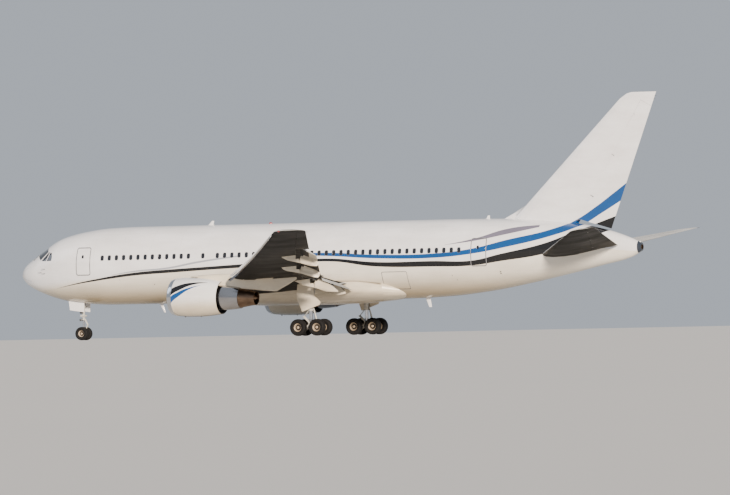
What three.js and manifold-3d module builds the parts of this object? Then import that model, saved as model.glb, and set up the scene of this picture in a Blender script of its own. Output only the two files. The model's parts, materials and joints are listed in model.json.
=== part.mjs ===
// Wide body airliner standing on its gear with flaps and slats out, at half its real size.
// Every size below is the real aircraft's, in millimetres: x runs aft from the nose tip, y to starboard
// and z up from the middle of the round cabin section. The outer group halves it and stands it on z = 0.
import * as THREE from 'three';
import { mergeVertices } from 'three/addons/utils/BufferGeometryUtils.js';
import Module from 'manifold-3d';

const wasm = await Module();
wasm.setup();

// Driving dimensions
const SCALE = 0.5;
const LENGTH = 48510;
const GROUND = -5150;
const SEAT = 0.3 / SCALE;
const CLEAR = 6 / SCALE;
const FAR = 9000;
const BAR_SIDES = 10;
const SLIVER = 0.15;

const rows = (names, table) => table.map((row) => (
  Object.fromEntries(names.split(' ').map((name, column) => [name, row[column]]))
));

// A column's value between two rows of a table
function between(table, key, value, column) {
  const next = Math.max(1, table.findIndex((row) => row[key] >= value));
  const [a, b] = [table[next - 1], table[next]];
  return a[column] + ((b[column] - a[column]) * (value - a[key])) / (b[key] - a[key]);
}

const FUSELAGE = rows('x top bottom half', [
  [0, -460, -540, 40],
  [150, -60, -880, 410],
  [500, 290, -1220, 800],
  [1200, 760, -1620, 1260],
  [1700, 1100, -1830, 1480],
  [2200, 1420, -2020, 1660],
  [2800, 1790, -2210, 1860],
  [3400, 2050, -2360, 2020],
  [5000, 2420, -2580, 2330],
  [7000, 2650, -2700, 2490],
  [9500, 2705, -2705, 2515],
  [30000, 2705, -2705, 2515],
  [33000, 2705, -2600, 2490],
  [36000, 2680, -2300, 2320],
  [39000, 2590, -1800, 1950],
  [42000, 2300, -1200, 1420],
  [44500, 1800, -650, 920],
  [46300, 1210, -250, 520],
  [47240, 790, 220, 290],
]);
const FUSELAGE_SIDES = 24;
const RADOME_END = 1200;
const TAIL_CONE_START = 45700;

const FAIRING = rows('x top bottom half', [
  [13200, -1500, -2620, 1500],
  [14400, -1150, -2780, 2300],
  [16000, -1000, -2900, 2640],
  [18500, -950, -2990, 2780],
  [24500, -950, -3020, 2780],
  [26800, -1000, -2960, 2640],
  [28600, -1200, -2800, 2250],
  [30000, -1550, -2620, 1400],
]);

const AIRFOIL_STEPS = [0.015, 0.06, 0.15, 0.3, 0.5, 0.7, 0.86, 1];
const WING = {
  apex: 14340, leadSlope: 0.6788, semiSpan: 23785, kink: 8500,
  innerTrail: 11500, innerTrailSlope: 0.0706, outerTrail: 8570, outerTrailSlope: 0.4148,
  rootY: 2500, rootZ: -1580, dihedral: 0.1051, tipBend: 1320, camber: 0.012,
};
// lead and trail are how far the rounded tip's edges are drawn in, thick is a share of the chord
const WING_STATIONS = rows('y lead trail thick', [
  [1200, 0, 0, 0.15],
  [3000, 0, 0, 0.148],
  [5500, 0, 0, 0.135],
  [8500, 0, 0, 0.12],
  [12000, 0, 0, 0.115],
  [16000, 0, 0, 0.11],
  [20000, 0, 0, 0.105],
  [23350, 0, 0, 0.1],
  [23680, 260, 60, 0.095],
  [23785, 620, 240, 0.06],
]);

const TAILPLANE = {
  apex: 39300, leadSlope: 0.72, trail: 45610, trailSlope: 0.22,
  trailZ: 520, dihedral: 0.1416, incidence: 0.115, rootEnd: 43000, rootHalf: 1300,
};
const TAILPLANE_STATIONS = rows('y lead trail thick', [
  [500, 0, 0, 0.11],
  [4000, 0, 0, 0.1],
  [8900, 0, 0, 0.095],
  [9220, 200, 40, 0.09],
  [9310, 480, 160, 0.055],
]);

const FIN = { leadFoot: 37050, leadSlope: 1.005, trailFoot: 45060, trailSlope: 0.378, footZ: 2000 };
const FIN_STATIONS = rows('z lead trail thick', [
  [1000, 0, 0, 0.11],
  [6000, 0, 0, 0.105],
  [10700, 0, 0, 0.1],
  [11040, 170, 0, 0.095],
  [11130, 420, 0, 0.06],
]);

const ENGINE = { x: 16300, y: 7930, z: -2310, pitch: THREE.MathUtils.degToRad(1.6), sides: 24 };
const COWL_OUTSIDE = rows('x radius', [
  [15380, 1170],
  [15450, 1230],
  [15750, 1305],
  [16700, 1350],
  [17600, 1330],
  [18500, 1240],
  [19110, 1145],
]);
const COWL_INSIDE = rows('x radius', [
  [19110, 1125],
  [18300, 1180],
  [16100, 1180],
  [15750, 1080],
  [15440, 1110],
]);
const FAN = { x: 16400, count: 22, root: 340, tip: 1150, chord: 330, thick: 30, stagger: 48 };
// Distance aft of the fan's own plane
const FAN_HUB = rows('aft radius', [
  [-640, 0],
  [-450, 240],
  [-130, 400],
  [150, 460],
  [150, 150],
  [700, 150],
  [700, 0],
]);
const CORE_OUTSIDE = rows('x radius', [
  [16800, 560],
  [17200, 680],
  [18400, 850],
  [19110, 870],
  [20540, 740],
  [20560, 680],
  [21680, 480],
]);
const CORE_INSIDE = rows('x radius', [
  [21680, 455],
  [21200, 440],
  [21200, 300],
  [21700, 80],
]);
const GUIDE_VANES = { x: 17050, count: 6, root: 500, tip: 1250, chord: 260, thick: 36, stagger: 0 };
const DUCT = { from: 16800, to: 17400, radius: 1192 };
// Across as a share of the half width, then how far below the top edge or above the bottom edge
const PYLON_SECTION = [
  [0, 'top', 0], [0.7, 'top', -40], [1, 'top', -160], [1, 'bottom', 60], [0.6, 'bottom', 0],
];
const PYLON = rows('x top bottom half', [
  [16700, -900, -1100, 30],
  [17200, -850, -1100, 110],
  [17400, -830, -1700, 150],
  [18800, -750, -1950, 200],
  [20600, -800, -1850, 210],
  [22000, -900, -1950, 210],
  [23200, -1000, -2040, 160],
  [24000, -1020, -1640, 90],
  [24750, -1040, -1250, 25],
]);

// Blade antennas on the crown, height up, and on the belly, height down
const ANTENNAS = rows('root chord tip tipChord height', [
  [14420, 380, 14700, 160, 290],
  [35600, 270, 35720, 160, 220],
  [10550, 250, 10880, 120, -610],
  [13440, 300, 13560, 200, -140],
  [30900, 350, 31160, 200, -660],
]);
const ANTENNA = { rootHalf: 28, tipHalf: 12, depth: 60, thickest: 0.35 };

// Flat jacking pads under the nose and under each wing, face is how far each stands proud of the skin
const JACK_PAD = { radius: 120, face: 40, depth: 120 };
const NOSE_PAD = { x: 7400, y: 0 };
const WING_PAD = { x: 21500, y: 5900 };

const NOSE_GEAR = { x: 4615, tyre: 470, width: 355, track: 610, rim: 235, axle: 60 };
const MAIN_GEAR = {
  x: 24290, y: 4650, tyre: 585, width: 457, track: 1140, rim: 290, axle: 85, wheelbase: 1420,
};
const TYRE_SIDES = 16;

const FINISH = {
  white: new THREE.MeshStandardMaterial({ color: '#e9e7e3', roughness: 0.35, metalness: 0 }),
  cream: new THREE.MeshStandardMaterial({ color: '#d9d0c0', roughness: 0.4, metalness: 0 }),
  grey: new THREE.MeshStandardMaterial({ color: '#a3a39f', roughness: 0.45, metalness: 0.1 }),
  polished: new THREE.MeshStandardMaterial({ color: '#c9cacb', roughness: 0.2, metalness: 1 }),
  steel: new THREE.MeshStandardMaterial({ color: '#8e8f90', roughness: 0.35, metalness: 1 }),
  bronze: new THREE.MeshStandardMaterial({ color: '#6f5b47', roughness: 0.4, metalness: 1 }),
  rubber: new THREE.MeshStandardMaterial({ color: '#1c1c1d', roughness: 0.85, metalness: 0 }),
  glass: new THREE.MeshStandardMaterial({ color: '#10151a', roughness: 0.08, metalness: 0 }),
};

const airliner = new THREE.Group();
airliner.name = 'airliner';
const pivots = {};

// Solids

const toSolid = (geometry) => {
  const bare = geometry.clone();
  bare.deleteAttribute('normal');
  bare.deleteAttribute('uv');
  const merged = mergeVertices(bare, 1e-3);
  const corners = merged.index.array;
  const triangles = [];
  for (let i = 0; i < corners.length; i += 3) {
    const [a, b, c] = [corners[i], corners[i + 1], corners[i + 2]];
    if (a !== b && b !== c && c !== a) triangles.push(a, b, c);
  }
  return new wasm.Manifold(new wasm.Mesh({
    numProp: 3,
    vertProperties: merged.attributes.position.array,
    triVerts: Uint32Array.from(triangles),
  }));
};

const toGeometry = (solid) => {
  const mesh = solid.asOriginal().simplify(SLIVER).getMesh();
  const geometry = new THREE.BufferGeometry();
  geometry.setAttribute('position', new THREE.BufferAttribute(mesh.vertProperties, 3));
  geometry.setIndex(new THREE.BufferAttribute(mesh.triVerts, 1));
  geometry.computeVertexNormals();
  return geometry;
};

const join = (...solids) => solids.reduce((sum, solid) => sum.add(solid));
const cut = (solid, ...tools) => tools.reduce((rest, tool) => rest.subtract(tool), solid);
const common = (...solids) => solids.reduce((sum, solid) => sum.intersect(solid));
const mirrored = (solid) => solid.mirror([0, 1, 0]);
const place = (solid, matrix) => solid.transform(matrix.elements);

// A closed skin over rings that all have the same number of points, its facets alike to port and starboard
function loft(rings) {
  const count = rings[0].length;
  const points = rings.flat();
  const faces = [];
  for (let i = 0; i + 1 < rings.length; i += 1) {
    for (let j = 0; j < count; j += 1) {
      const [a, b] = [i * count + j, i * count + ((j + 1) % count)];
      const [c, d] = [a + count, b + count];
      const starboard = points[a][1] + points[b][1] + points[c][1] + points[d][1] >= 0;
      faces.push(...(starboard ? [a, b, c, b, d, c] : [a, b, d, a, d, c]));
    }
  }
  const cap = (start, turned) => {
    if (count === 4) {
      const [a, b, c, d] = turned ? [0, 1, 2, 3] : [3, 2, 1, 0];
      faces.push(start + a, start + b, start + c, start + c, start + d, start + a);
      return;
    }
    const middle = points.length;
    const ring = points.slice(start, start + count);
    points.push([0, 1, 2].map((axis) => ring.reduce((sum, point) => sum + point[axis], 0) / count));
    for (let j = 0; j < count; j += 1) {
      const [a, b] = [start + j, start + ((j + 1) % count)];
      faces.push(middle, turned ? a : b, turned ? b : a);
    }
  };
  cap(0, false);
  cap((rings.length - 1) * count, true);
  const geometry = new THREE.BufferGeometry();
  geometry.setAttribute('position', new THREE.Float32BufferAttribute(points.flat(), 3));
  geometry.setIndex(faces);
  const volume = (() => {
    let sum = 0;
    for (let i = 0; i < faces.length; i += 3) {
      const [a, b, c] = [points[faces[i]], points[faces[i + 1]], points[faces[i + 2]]];
      sum += a[0] * (b[1] * c[2] - b[2] * c[1]) - a[1] * (b[0] * c[2] - b[2] * c[0])
        + a[2] * (b[0] * c[1] - b[1] * c[0]);
    }
    return sum;
  })();
  if (volume < 0) geometry.setIndex(faces.reverse());
  return toSolid(geometry);
}

function box(low, high) {
  const size = high.map((value, axis) => value - low[axis]);
  const middle = high.map((value, axis) => (value + low[axis]) / 2);
  return toSolid(new THREE.BoxGeometry(...size).translate(...middle));
}

// A round bar or cone between two points
function bar(from, to, radius, endRadius = radius, sides = BAR_SIDES, turn = 0) {
  const [start, end] = [new THREE.Vector3(...from), new THREE.Vector3(...to)];
  const along = end.clone().sub(start);
  const geometry = new THREE.CylinderGeometry(endRadius, radius, along.length(), sides, 1, false, turn);
  const up = new THREE.Vector3(0, 1, 0);
  geometry.applyQuaternion(new THREE.Quaternion().setFromUnitVectors(up, along.normalize()));
  const middle = start.add(end).multiplyScalar(0.5);
  return toSolid(geometry.translate(middle.x, middle.y, middle.z));
}

// A hole whose flats stay a seat gap away from the corners of a bar of this radius, however that bar turns
const bore = (from, to, radius, sides = BAR_SIDES) => {
  const reach = (radius + SEAT) / Math.cos(Math.PI / sides);
  return bar(from, to, reach, reach, sides, Math.PI / sides);
};

// An outline in x and z pushed through from one y to another
function sidePrism(outline, fromY, toY) {
  const shape = new THREE.Shape(outline.map(([x, z]) => new THREE.Vector2(x, z)));
  const geometry = new THREE.ExtrudeGeometry(shape, { depth: toY - fromY, bevelEnabled: false });
  return toSolid(geometry.rotateX(Math.PI / 2).translate(0, toY, 0));
}

// A body of revolution about the line through y, z that runs aft
function turnedAboutX(profile, y, z, sides) {
  const points = profile.map(({ x, radius }) => new THREE.Vector2(radius, x));
  const geometry = new THREE.LatheGeometry([...points, points[0]], sides);
  return toSolid(geometry.rotateZ(-Math.PI / 2).translate(0, y, z));
}

// Sub-parts and their places

function addPart(name, solid, material) {
  const mesh = new THREE.Mesh(toGeometry(solid), material);
  mesh.name = name;
  airliner.add(mesh);
}

function addPair(name, solid, material) {
  addPart(`${name}_right`, solid, material);
  addPart(`${name}_left`, mirrored(solid), material);
}

const addPivot = (name, point, axis) => {
  pivots[name] = { point, axis };
};

// The left surface's axis is turned round as well, so that the same sign moves both the same way
function addPivotPair(name, [x, y, z], [ax, ay, az]) {
  addPivot(`${name}_right`, [x, y, z], [ax, ay, az]);
  addPivot(`${name}_left`, [x, -y, z], [-ax, ay, -az]);
}

// Fuselage, its nose, doors and tail

function bodyRing({ x, top, bottom, half }, grow, sides) {
  const [middle, tall, wide] = [(top + bottom) / 2, (top - bottom) / 2 + grow, half + grow];
  return Array.from({ length: sides }, (_, i) => {
    const angle = (i / sides) * 2 * Math.PI;
    return [x, wide * Math.cos(angle), middle + tall * Math.sin(angle)];
  });
}

const bodyLoft = (table, grow, sides) => loft(table.map((row) => bodyRing(row, grow, sides)));

const body = bodyLoft(FUSELAGE, 0, FUSELAGE_SIDES);
const bodyGrown = bodyLoft(FUSELAGE, SEAT, FUSELAGE_SIDES);
const slab = (fromX, toX) => box([fromX, -FAR, -FAR], [toX, FAR, FAR]);

// Skin panels are as thick as depth and sit in pockets that leave the seat gap all round
const WINDSCREEN = [
  [900, 520], [2050, 420], [3080, 430], [3160, 700], [3030, 1010], [2300, 1240], [1500, 1290],
];
const WINDSCREEN_DEPTH = 90;
const DOORS = rows('x low high half', [
  [5800, -590, 1290, 535],
  [35960, -560, 1320, 535],
]);
const DOOR_DEPTH = 110;

function outlineGrown(outline, grow) {
  const centre = outline.reduce(([x, z], point) => [x + point[0], z + point[1]], [0, 0]);
  const [x0, z0] = centre.map((value) => value / outline.length);
  return outline.map(([x, z]) => {
    const reach = Math.hypot(x - x0, z - z0);
    const stretch = (reach + 2 * grow) / reach;
    return [x0 + (x - x0) * stretch, z0 + (z - z0) * stretch];
  });
}

function skinPanel(outline, depth, fromY, toY) {
  const core = bodyLoft(FUSELAGE, -depth, FUSELAGE_SIDES);
  const floor = bodyLoft(FUSELAGE, -depth - SEAT, FUSELAGE_SIDES);
  return {
    panel: cut(common(body, sidePrism(outline, fromY, toY)), core),
    pocket: cut(sidePrism(outlineGrown(outline, SEAT), fromY, toY), floor),
  };
}

function roundedDoor({ x, low, high, half }) {
  const corner = 160;
  const outline = [];
  const [fore, aft] = [x - half + corner, x + half - corner];
  const [top, bottom] = [high - corner, low + corner];
  for (const [turn, [cx, cz]] of [[aft, top], [fore, top], [fore, bottom], [aft, bottom]].entries()) {
    for (const step of [0, 0.5, 1]) {
      const angle = (turn + step) * (Math.PI / 2);
      outline.push([cx + corner * Math.cos(angle), cz + corner * Math.sin(angle)]);
    }
  }
  return outline;
}

const windscreen = skinPanel(WINDSCREEN, WINDSCREEN_DEPTH, -FAR, FAR);
const doorPanels = DOORS.map((door) => skinPanel(roundedDoor(door), DOOR_DEPTH, 100, FAR));
const apuExhaust = bar([46900, 0, 500], [47300, 0, 505], 150, 150, 20);

function jackPad({ x, y }, skin) {
  const { radius, face, depth } = JACK_PAD;
  return bar([x, y, skin - face], [x, y, skin + depth], radius, radius, FUSELAGE_SIDES);
}

function antenna({ root, chord, tip, tipChord, height }) {
  const skin = between(FUSELAGE, 'x', root + chord / 2, height > 0 ? 'top' : 'bottom');
  const ring = (x, size, half, z) => {
    const middle = x + size * ANTENNA.thickest;
    return [[x, 0, z], [middle, half, z], [x + size, 0, z], [middle, -half, z]];
  };
  return loft([
    ring(root, chord, ANTENNA.rootHalf, skin - Math.sign(height) * ANTENNA.depth),
    ring(tip, tipChord, ANTENNA.tipHalf, skin + height),
  ]);
}

let shell = common(body, slab(RADOME_END + SEAT, TAIL_CONE_START - SEAT));
const nosePad = jackPad(NOSE_PAD, between(FUSELAGE, 'x', NOSE_PAD.x, 'bottom'));
shell = join(shell, nosePad, ...ANTENNAS.map(antenna));
shell = cut(shell, windscreen.pocket);
for (const { pocket } of doorPanels) shell = cut(shell, pocket, mirrored(pocket));
addPart('fuselage', shell, FINISH.white);
addPart('radome', cut(common(body, slab(-FAR, RADOME_END)), windscreen.pocket), FINISH.white);
addPart('tail_cone', cut(common(body, slab(TAIL_CONE_START, LENGTH)), apuExhaust), FINISH.white);
addPart('windscreen', windscreen.panel, FINISH.glass);
addPair('door_front', doorPanels[0].panel, FINISH.white);
addPair('door_rear', doorPanels[1].panel, FINISH.white);

const fairing = bodyLoft(FAIRING, 0, FUSELAGE_SIDES);
const fairingGrown = bodyLoft(FAIRING, SEAT, FUSELAGE_SIDES);
addPart('belly_fairing', cut(fairing, bodyGrown), FINISH.cream);

// Lifting surfaces

// Half thickness of a wing section at a share of its chord, as a share of the chord
const halfThickness = (share, thick) => 5 * thick * (
  0.2969 * Math.sqrt(share) - 0.126 * share - 0.3516 * share ** 2 + 0.2843 * share ** 3 - 0.1 * share ** 4
);

// Chordwise outline as pairs of share of chord and height over chord, from the leading edge over the top
function airfoil(thick, camber, growShare = 0) {
  const height = (share, side) => (
    4 * camber * share * (1 - share) + side * (halfThickness(share, thick) + growShare)
  );
  const upper = AIRFOIL_STEPS.map((share) => [share, height(share, 1)]);
  const lower = AIRFOIL_STEPS.map((share) => [share, height(share, -1)]).reverse();
  return [[-growShare, 0], ...upper, ...lower];
}

const wingTrail = (y) => WING.apex + (y < WING.kink
  ? WING.innerTrail + WING.innerTrailSlope * y
  : WING.outerTrail + WING.outerTrailSlope * y);
const wingLead = (y) => WING.apex + WING.leadSlope * y;
const wingChord = (y) => wingTrail(y) - wingLead(y);
const wingZ = (y) => {
  const out = y - WING.rootY;
  return WING.rootZ + WING.dihedral * out + WING.tipBend * (out / (WING.semiSpan - WING.rootY)) ** 2;
};

// Height of the wing skin on side +1, upper, or -1, lower
function wingSkin(x, y, side) {
  const share = (x - wingLead(y)) / wingChord(y);
  const thick = between(WING_STATIONS, 'y', y, 'thick');
  const level = between(WING_STATIONS.map((row) => ({ y: row.y, z: wingZ(row.y) })), 'y', y, 'z');
  return level + wingChord(y) * (4 * WING.camber * share * (1 - share) + side * halfThickness(share, thick));
}

function wingLoft(grow) {
  return loft(WING_STATIONS.map(({ y, lead, trail, thick }) => {
    const start = wingLead(y) + lead;
    const chord = wingTrail(y) - trail - start;
    return airfoil(thick, WING.camber, grow / chord).map(([share, height]) => (
      [start + share * chord, y, wingZ(y) + height * chord]
    ));
  }));
}

const wingBase = wingLoft(0);
const wingGrown = wingLoft(SEAT);

// Axes along a hinge: a aft, s along it, h up, as a right-handed frame that starts at from
function hingeFrame(from, to, up) {
  const s = new THREE.Vector3(...to).sub(new THREE.Vector3(...from));
  const length = s.length();
  s.normalize();
  const a = s.clone().cross(new THREE.Vector3(...up)).normalize();
  const h = a.clone().cross(s);
  const matrix = new THREE.Matrix4().makeBasis(a, s, h).setPosition(...from);
  return { matrix, inverse: matrix.clone().invert(), axis: s.toArray(), origin: from, length };
}

// A hinge bracket at s along the axis: a finger from the fixed side, with the slot and pin in the moving side
const FINGER = { half: 28, disc: 0.55, pin: 0.26, root: 90 };

function bracket(s, radius) {
  const [disc, pin, side] = [radius * FINGER.disc, radius * FINGER.pin, FINGER.half];
  const reach = radius + CLEAR + FINGER.root;
  return {
    finger: cut(
      join(
        box([-reach, s - side, -disc], [0, s + side, disc]),
        bar([0, s - side, 0], [0, s + side, 0], disc, disc, 8),
      ),
      bore([0, s - 2 * side, 0], [0, s + 2 * side, 0], pin, 6),
    ),
    slot: bar([0, s - side - CLEAR, 0], [0, s + side + CLEAR, 0], radius * 1.13, radius * 1.13, 8),
    pin: bar([0, s - side - CLEAR - 20, 0], [0, s + side + CLEAR + 20, 0], pin, pin, 6),
  };
}

// Splits a lifting surface at a hinge: the moving part has a round nose, the fixed part a hollow that it turns in
function splitAtHinge(solid, frame, { start, end, nose, noseEnd, lip, brackets }) {
  const local = place(solid, frame.inverse);
  const cone = (grow, from, to) => {
    const at = (s) => nose + ((noseEnd - nose) * (s - start)) / (end - start) + grow;
    return bar([0, from, 0], [0, to, 0], at(from), at(to), 12);
  };
  const behind = (a, from, to) => box([a, from, -FAR], [FAR, to, FAR]);
  const fork = brackets.map((share) => {
    const s = start + share * (end - start);
    return bracket(s, nose + (noseEnd - nose) * share);
  });
  let moving = common(local, join(
    behind(0, start + CLEAR, end - CLEAR),
    cone(0, start + CLEAR, end - CLEAR),
  ));
  let fixed = cut(local, join(behind(-lip, start, end), cone(CLEAR, start, end)));
  for (const { finger, slot, pin } of fork) {
    moving = join(cut(moving, slot), pin);
    fixed = join(fixed, finger);
  }
  return { moving: place(moving, frame.matrix), fixed: place(fixed, frame.matrix) };
}

// Wing flaps hang from pivots below the wing, and each is drawn stowed and then swung out
const FLAP_OUT = THREE.MathUtils.degToRad(24);
const FLAPS = rows('name from to nose noseSlope drop aft shelf', [
  ['inboard', 2960, 6950, 10420, 0.0706, 480, 350, 0.38],
  ['outboard', 9350, 18150, 6970, 0.4505, 420, 330, 0.4],
]);
// How far the flap's nose lies aft of its hollow, and its trailing edge aft of the wing's
const FLAP = { noseOut: 120, trailOut: 450, overrun: 900, firstY: 1300 };
const TRACKS = rows('flap y front back', [
  ['inboard', 3350, 1400, 1000],
  ['inboard', 6450, 1900, 1700],
  ['outboard', 12300, 2050, 1850],
  ['outboard', 16200, 1800, 1550],
]);
const TRACK = { radius: 150, half: 150, buried: 65, reach: 500, under: 150 };

const flapNose = (flap, y) => WING.apex + flap.nose + flap.noseSlope * y;

// The flap's own section, nested in the wing's: thinner than it and close to its lower skin
const FLAP_SECTION = { thick: 0.43, noseLevel: 0.3 };

function flapRing(flap, y) {
  const nose = flapNose(flap, y);
  const start = nose + FLAP.noseOut;
  const chord = wingTrail(y) + FLAP.trailOut - start;
  const depth = wingSkin(nose, y, 1) - wingSkin(nose, y, -1);
  const noseZ = wingSkin(nose, y, -1) + FLAP_SECTION.noseLevel * depth;
  const endZ = (wingSkin(wingTrail(y), y, 1) + wingSkin(wingTrail(y), y, -1)) / 2;
  return airfoil((FLAP_SECTION.thick * depth) / chord, 0.01).map(([share, height]) => (
    [start + share * chord, y, noseZ + (endZ - noseZ) * share + height * chord]
  ));
}

// What the stowed flap and its way out need, under the fixed shelf that carries the spoilers
const SHELF = { front: 0.011, edge: 0.005, most: 70, gap: 90 };

function coveRing(flap, y) {
  const front = flapNose(flap, y) - SHELF.gap;
  const shelfEnd = flapNose(flap, y) + flap.shelf * (wingTrail(y) - flapNose(flap, y));
  const thick = Math.min(SHELF.front * wingChord(y), SHELF.most);
  const edge = SHELF.edge * wingChord(y);
  const [skinFront, skinEnd] = [wingSkin(front, y, 1), wingSkin(shelfEnd, y, 1)];
  const deep = FAR / 4;
  return [
    [front, y, skinFront - deep],
    [front, y, skinFront - thick],
    [shelfEnd, y, skinEnd - edge],
    [shelfEnd, y, skinEnd + deep],
    [shelfEnd + FAR, y, skinEnd + deep],
    [shelfEnd + FAR, y, skinEnd - deep],
  ];
}

function flapFrame(flap) {
  const at = (y) => {
    const nose = flapNose(flap, y);
    return [nose + flap.aft, y, wingSkin(nose, y, -1) - flap.drop];
  };
  return hingeFrame(at(flap.from), at(flap.to), [0, 0, 1]);
}

// A track fairing along x under the wing, pointed at both ends
function canoe(pivot, front, back, lift) {
  const [x, y, z] = pivot;
  const { radius, half } = TRACK;
  const shape = rows('along top bottom half', [
    [-front, lift, lift - 60, 20],
    [-front * 0.55, lift, lift * 0.12, half * 0.8],
    [0, lift, -radius, half],
    [back * 0.5, lift, -radius * 0.5, half * 0.85],
    [back, lift * 0.6, lift * 0.45, 20],
  ]);
  return loft(shape.map(({ along, top, bottom, half: wide }) => {
    const waist = (top + 2 * bottom) / 3;
    const low = wide * 0.5;
    const section = [[-wide, top], [wide, top], [wide, waist], [low, bottom], [-low, bottom], [-wide, waist]];
    return section.map(([across, up]) => [x + along, y + across, z + up]);
  }));
}

let wing = wingBase;
for (const flap of FLAPS) {
  const { name } = flap;
  const frame = flapFrame(flap);
  const ends = (margin) => box([-FAR, margin, -FAR], [FAR, frame.length - margin, FAR]);
  const [first, last] = [Math.max(flap.from - FLAP.overrun, FLAP.firstY), flap.to + FLAP.overrun];
  const stations = [first, ...WING_STATIONS.map(({ y }) => y).filter((y) => y > first && y < last), last];
  const stowed = loft(stations.map((y) => flapRing(flap, y)));
  const cove = loft(stations.map((y) => coveRing(flap, y)));
  let moving = common(place(stowed, frame.inverse), ends(CLEAR));
  wing = cut(wing, place(common(place(cove, frame.inverse), ends(0)), frame.matrix));
  for (const track of TRACKS.filter((row) => row.flap === name)) {
    const s = (track.y - frame.origin[1]) / frame.axis[1];
    const pivot = new THREE.Vector3(0, s, 0).applyMatrix4(frame.matrix).toArray();
    const local = place(canoe(pivot, track.front, track.back, flap.drop + TRACK.buried), frame.inverse);
    const span = [s - TRACK.reach, s + TRACK.reach];
    const { radius } = TRACK;
    const [left, right] = [[0, span[0], 0], [0, span[1], 0]];
    const fixed = cut(
      common(local, box([-FAR, span[0], -FAR], [-radius * 0.65, span[1], FAR])),
      bore(left, right, radius),
      box([-radius - CLEAR, span[0], radius * 0.5], [FAR, span[1], FAR]),
    );
    const above = box([-radius, span[0], radius * 0.5 + CLEAR], [radius, span[1], radius * 2]);
    const behind = box([0, span[0], -FAR], [FAR, span[1], FAR]);
    const roller = bar(left, right, radius, radius, BAR_SIDES, -FLAP_OUT);
    moving = join(moving, common(local, join(roller, above, behind)));
    const room = common(place(cove, frame.inverse), box([-FAR, 0, TRACK.under], [FAR, frame.length, FAR]));
    wing = join(wing, place(cut(fixed, room), frame.matrix));
  }
  const swing = new THREE.Matrix4().makeRotationY(FLAP_OUT);
  addPair(`flap_${name}`, place(moving, frame.matrix.clone().multiply(swing)), FINISH.grey);
  addPivotPair(`flap_${name}`, frame.origin, frame.axis);
}

// Ailerons turn on the chord line at a share of the chord
const AILERONS = rows('name from to share lip', [
  ['inboard', 7200, 9000, 0.8, 70],
  ['outboard', 18550, 22850, 0.74, 50],
]);
for (const { name, from, to, share, lip } of AILERONS) {
  const at = (y) => {
    const x = wingLead(y) + share * wingChord(y);
    const [upper, lower] = [wingSkin(x, y, 1), wingSkin(x, y, -1)];
    return { point: [x, y, (upper + lower) / 2], half: (upper - lower) / 2 };
  };
  const [inner, outer] = [at(from), at(to)];
  const frame = hingeFrame(inner.point, outer.point, [0, 0, 1]);
  const { moving, fixed } = splitAtHinge(wing, frame, {
    start: 0,
    end: frame.length,
    nose: inner.half,
    noseEnd: outer.half,
    lip,
    brackets: [0.22, 0.78],
  });
  wing = fixed;
  addPair(`aileron_${name}`, moving, FINISH.grey);
  addPivotPair(`aileron_${name}`, frame.origin, frame.axis);
}

// Slats stand forward and down from a cut-back leading edge, on short tracks
const SLATS = rows('name from to tracks', [
  ['inboard', 3350, 6450, 2],
  ['outboard', 9000, 22500, 5],
]);
const SLAT = {
  upper: 0.13, forward: 0.08, down: 0.02, droop: THREE.MathUtils.degToRad(22), gap: 30, mostChord: 6600,
};
const SLAT_RAIL = { front: -0.022, back: 0.1, level: -0.011, high: 0.011, half: 35 };

function noseOutline(thick) {
  const upper = [0.13, 0.09, 0.055, 0.025, 0.008];
  const lower = [0.008, 0.022, 0.035];
  const inner = [[0.04, -0.45], [0.03, -0.1], [0.035, 0.3], [0.06, 0.62], [0.09, 0.8]];
  const skin = (share, side) => (
    [share, 4 * WING.camber * share * (1 - share) + side * halfThickness(share, thick)]
  );
  return {
    outside: [...upper.map((share) => skin(share, 1)), [0, 0], ...lower.map((share) => skin(share, -1))],
    inside: inner.map(([share, level]) => {
      const [, top] = skin(share, 1);
      return [share, top * level];
    }),
  };
}

const slatChord = (y) => Math.min(wingChord(y), SLAT.mostChord);

function slatRing(y, thick) {
  const { outside, inside } = noseOutline(thick);
  const chord = slatChord(y);
  const turn = SLAT.droop;
  return [...outside, ...inside].map(([share, height]) => {
    const [x, z] = [share - SLAT.upper, height];
    const [along, up] = [x * Math.cos(turn) - z * Math.sin(turn), x * Math.sin(turn) + z * Math.cos(turn)];
    return [
      wingLead(y) + (SLAT.upper - SLAT.forward + along) * chord, y,
      wingZ(y) + (up - SLAT.down) * chord,
    ];
  });
}

// How far the cut for a slat reaches past the wing's skin, as a share of the chord
const NOSE_CUT = 0.1;

function noseCutRing(y, thick) {
  const { outside, inside } = noseOutline(thick);
  const chord = slatChord(y);
  const [first, last] = [outside[0], outside[outside.length - 1]];
  const [high, low] = [first[1] + NOSE_CUT, last[1] - NOSE_CUT];
  const ahead = [[first[0], high], [-NOSE_CUT, high], [-NOSE_CUT, low], [last[0], low]];
  return [...ahead, last, ...inside, first].map(([share, height]) => (
    [wingLead(y) + share * chord, y, wingZ(y) + height * chord]
  ));
}

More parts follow.
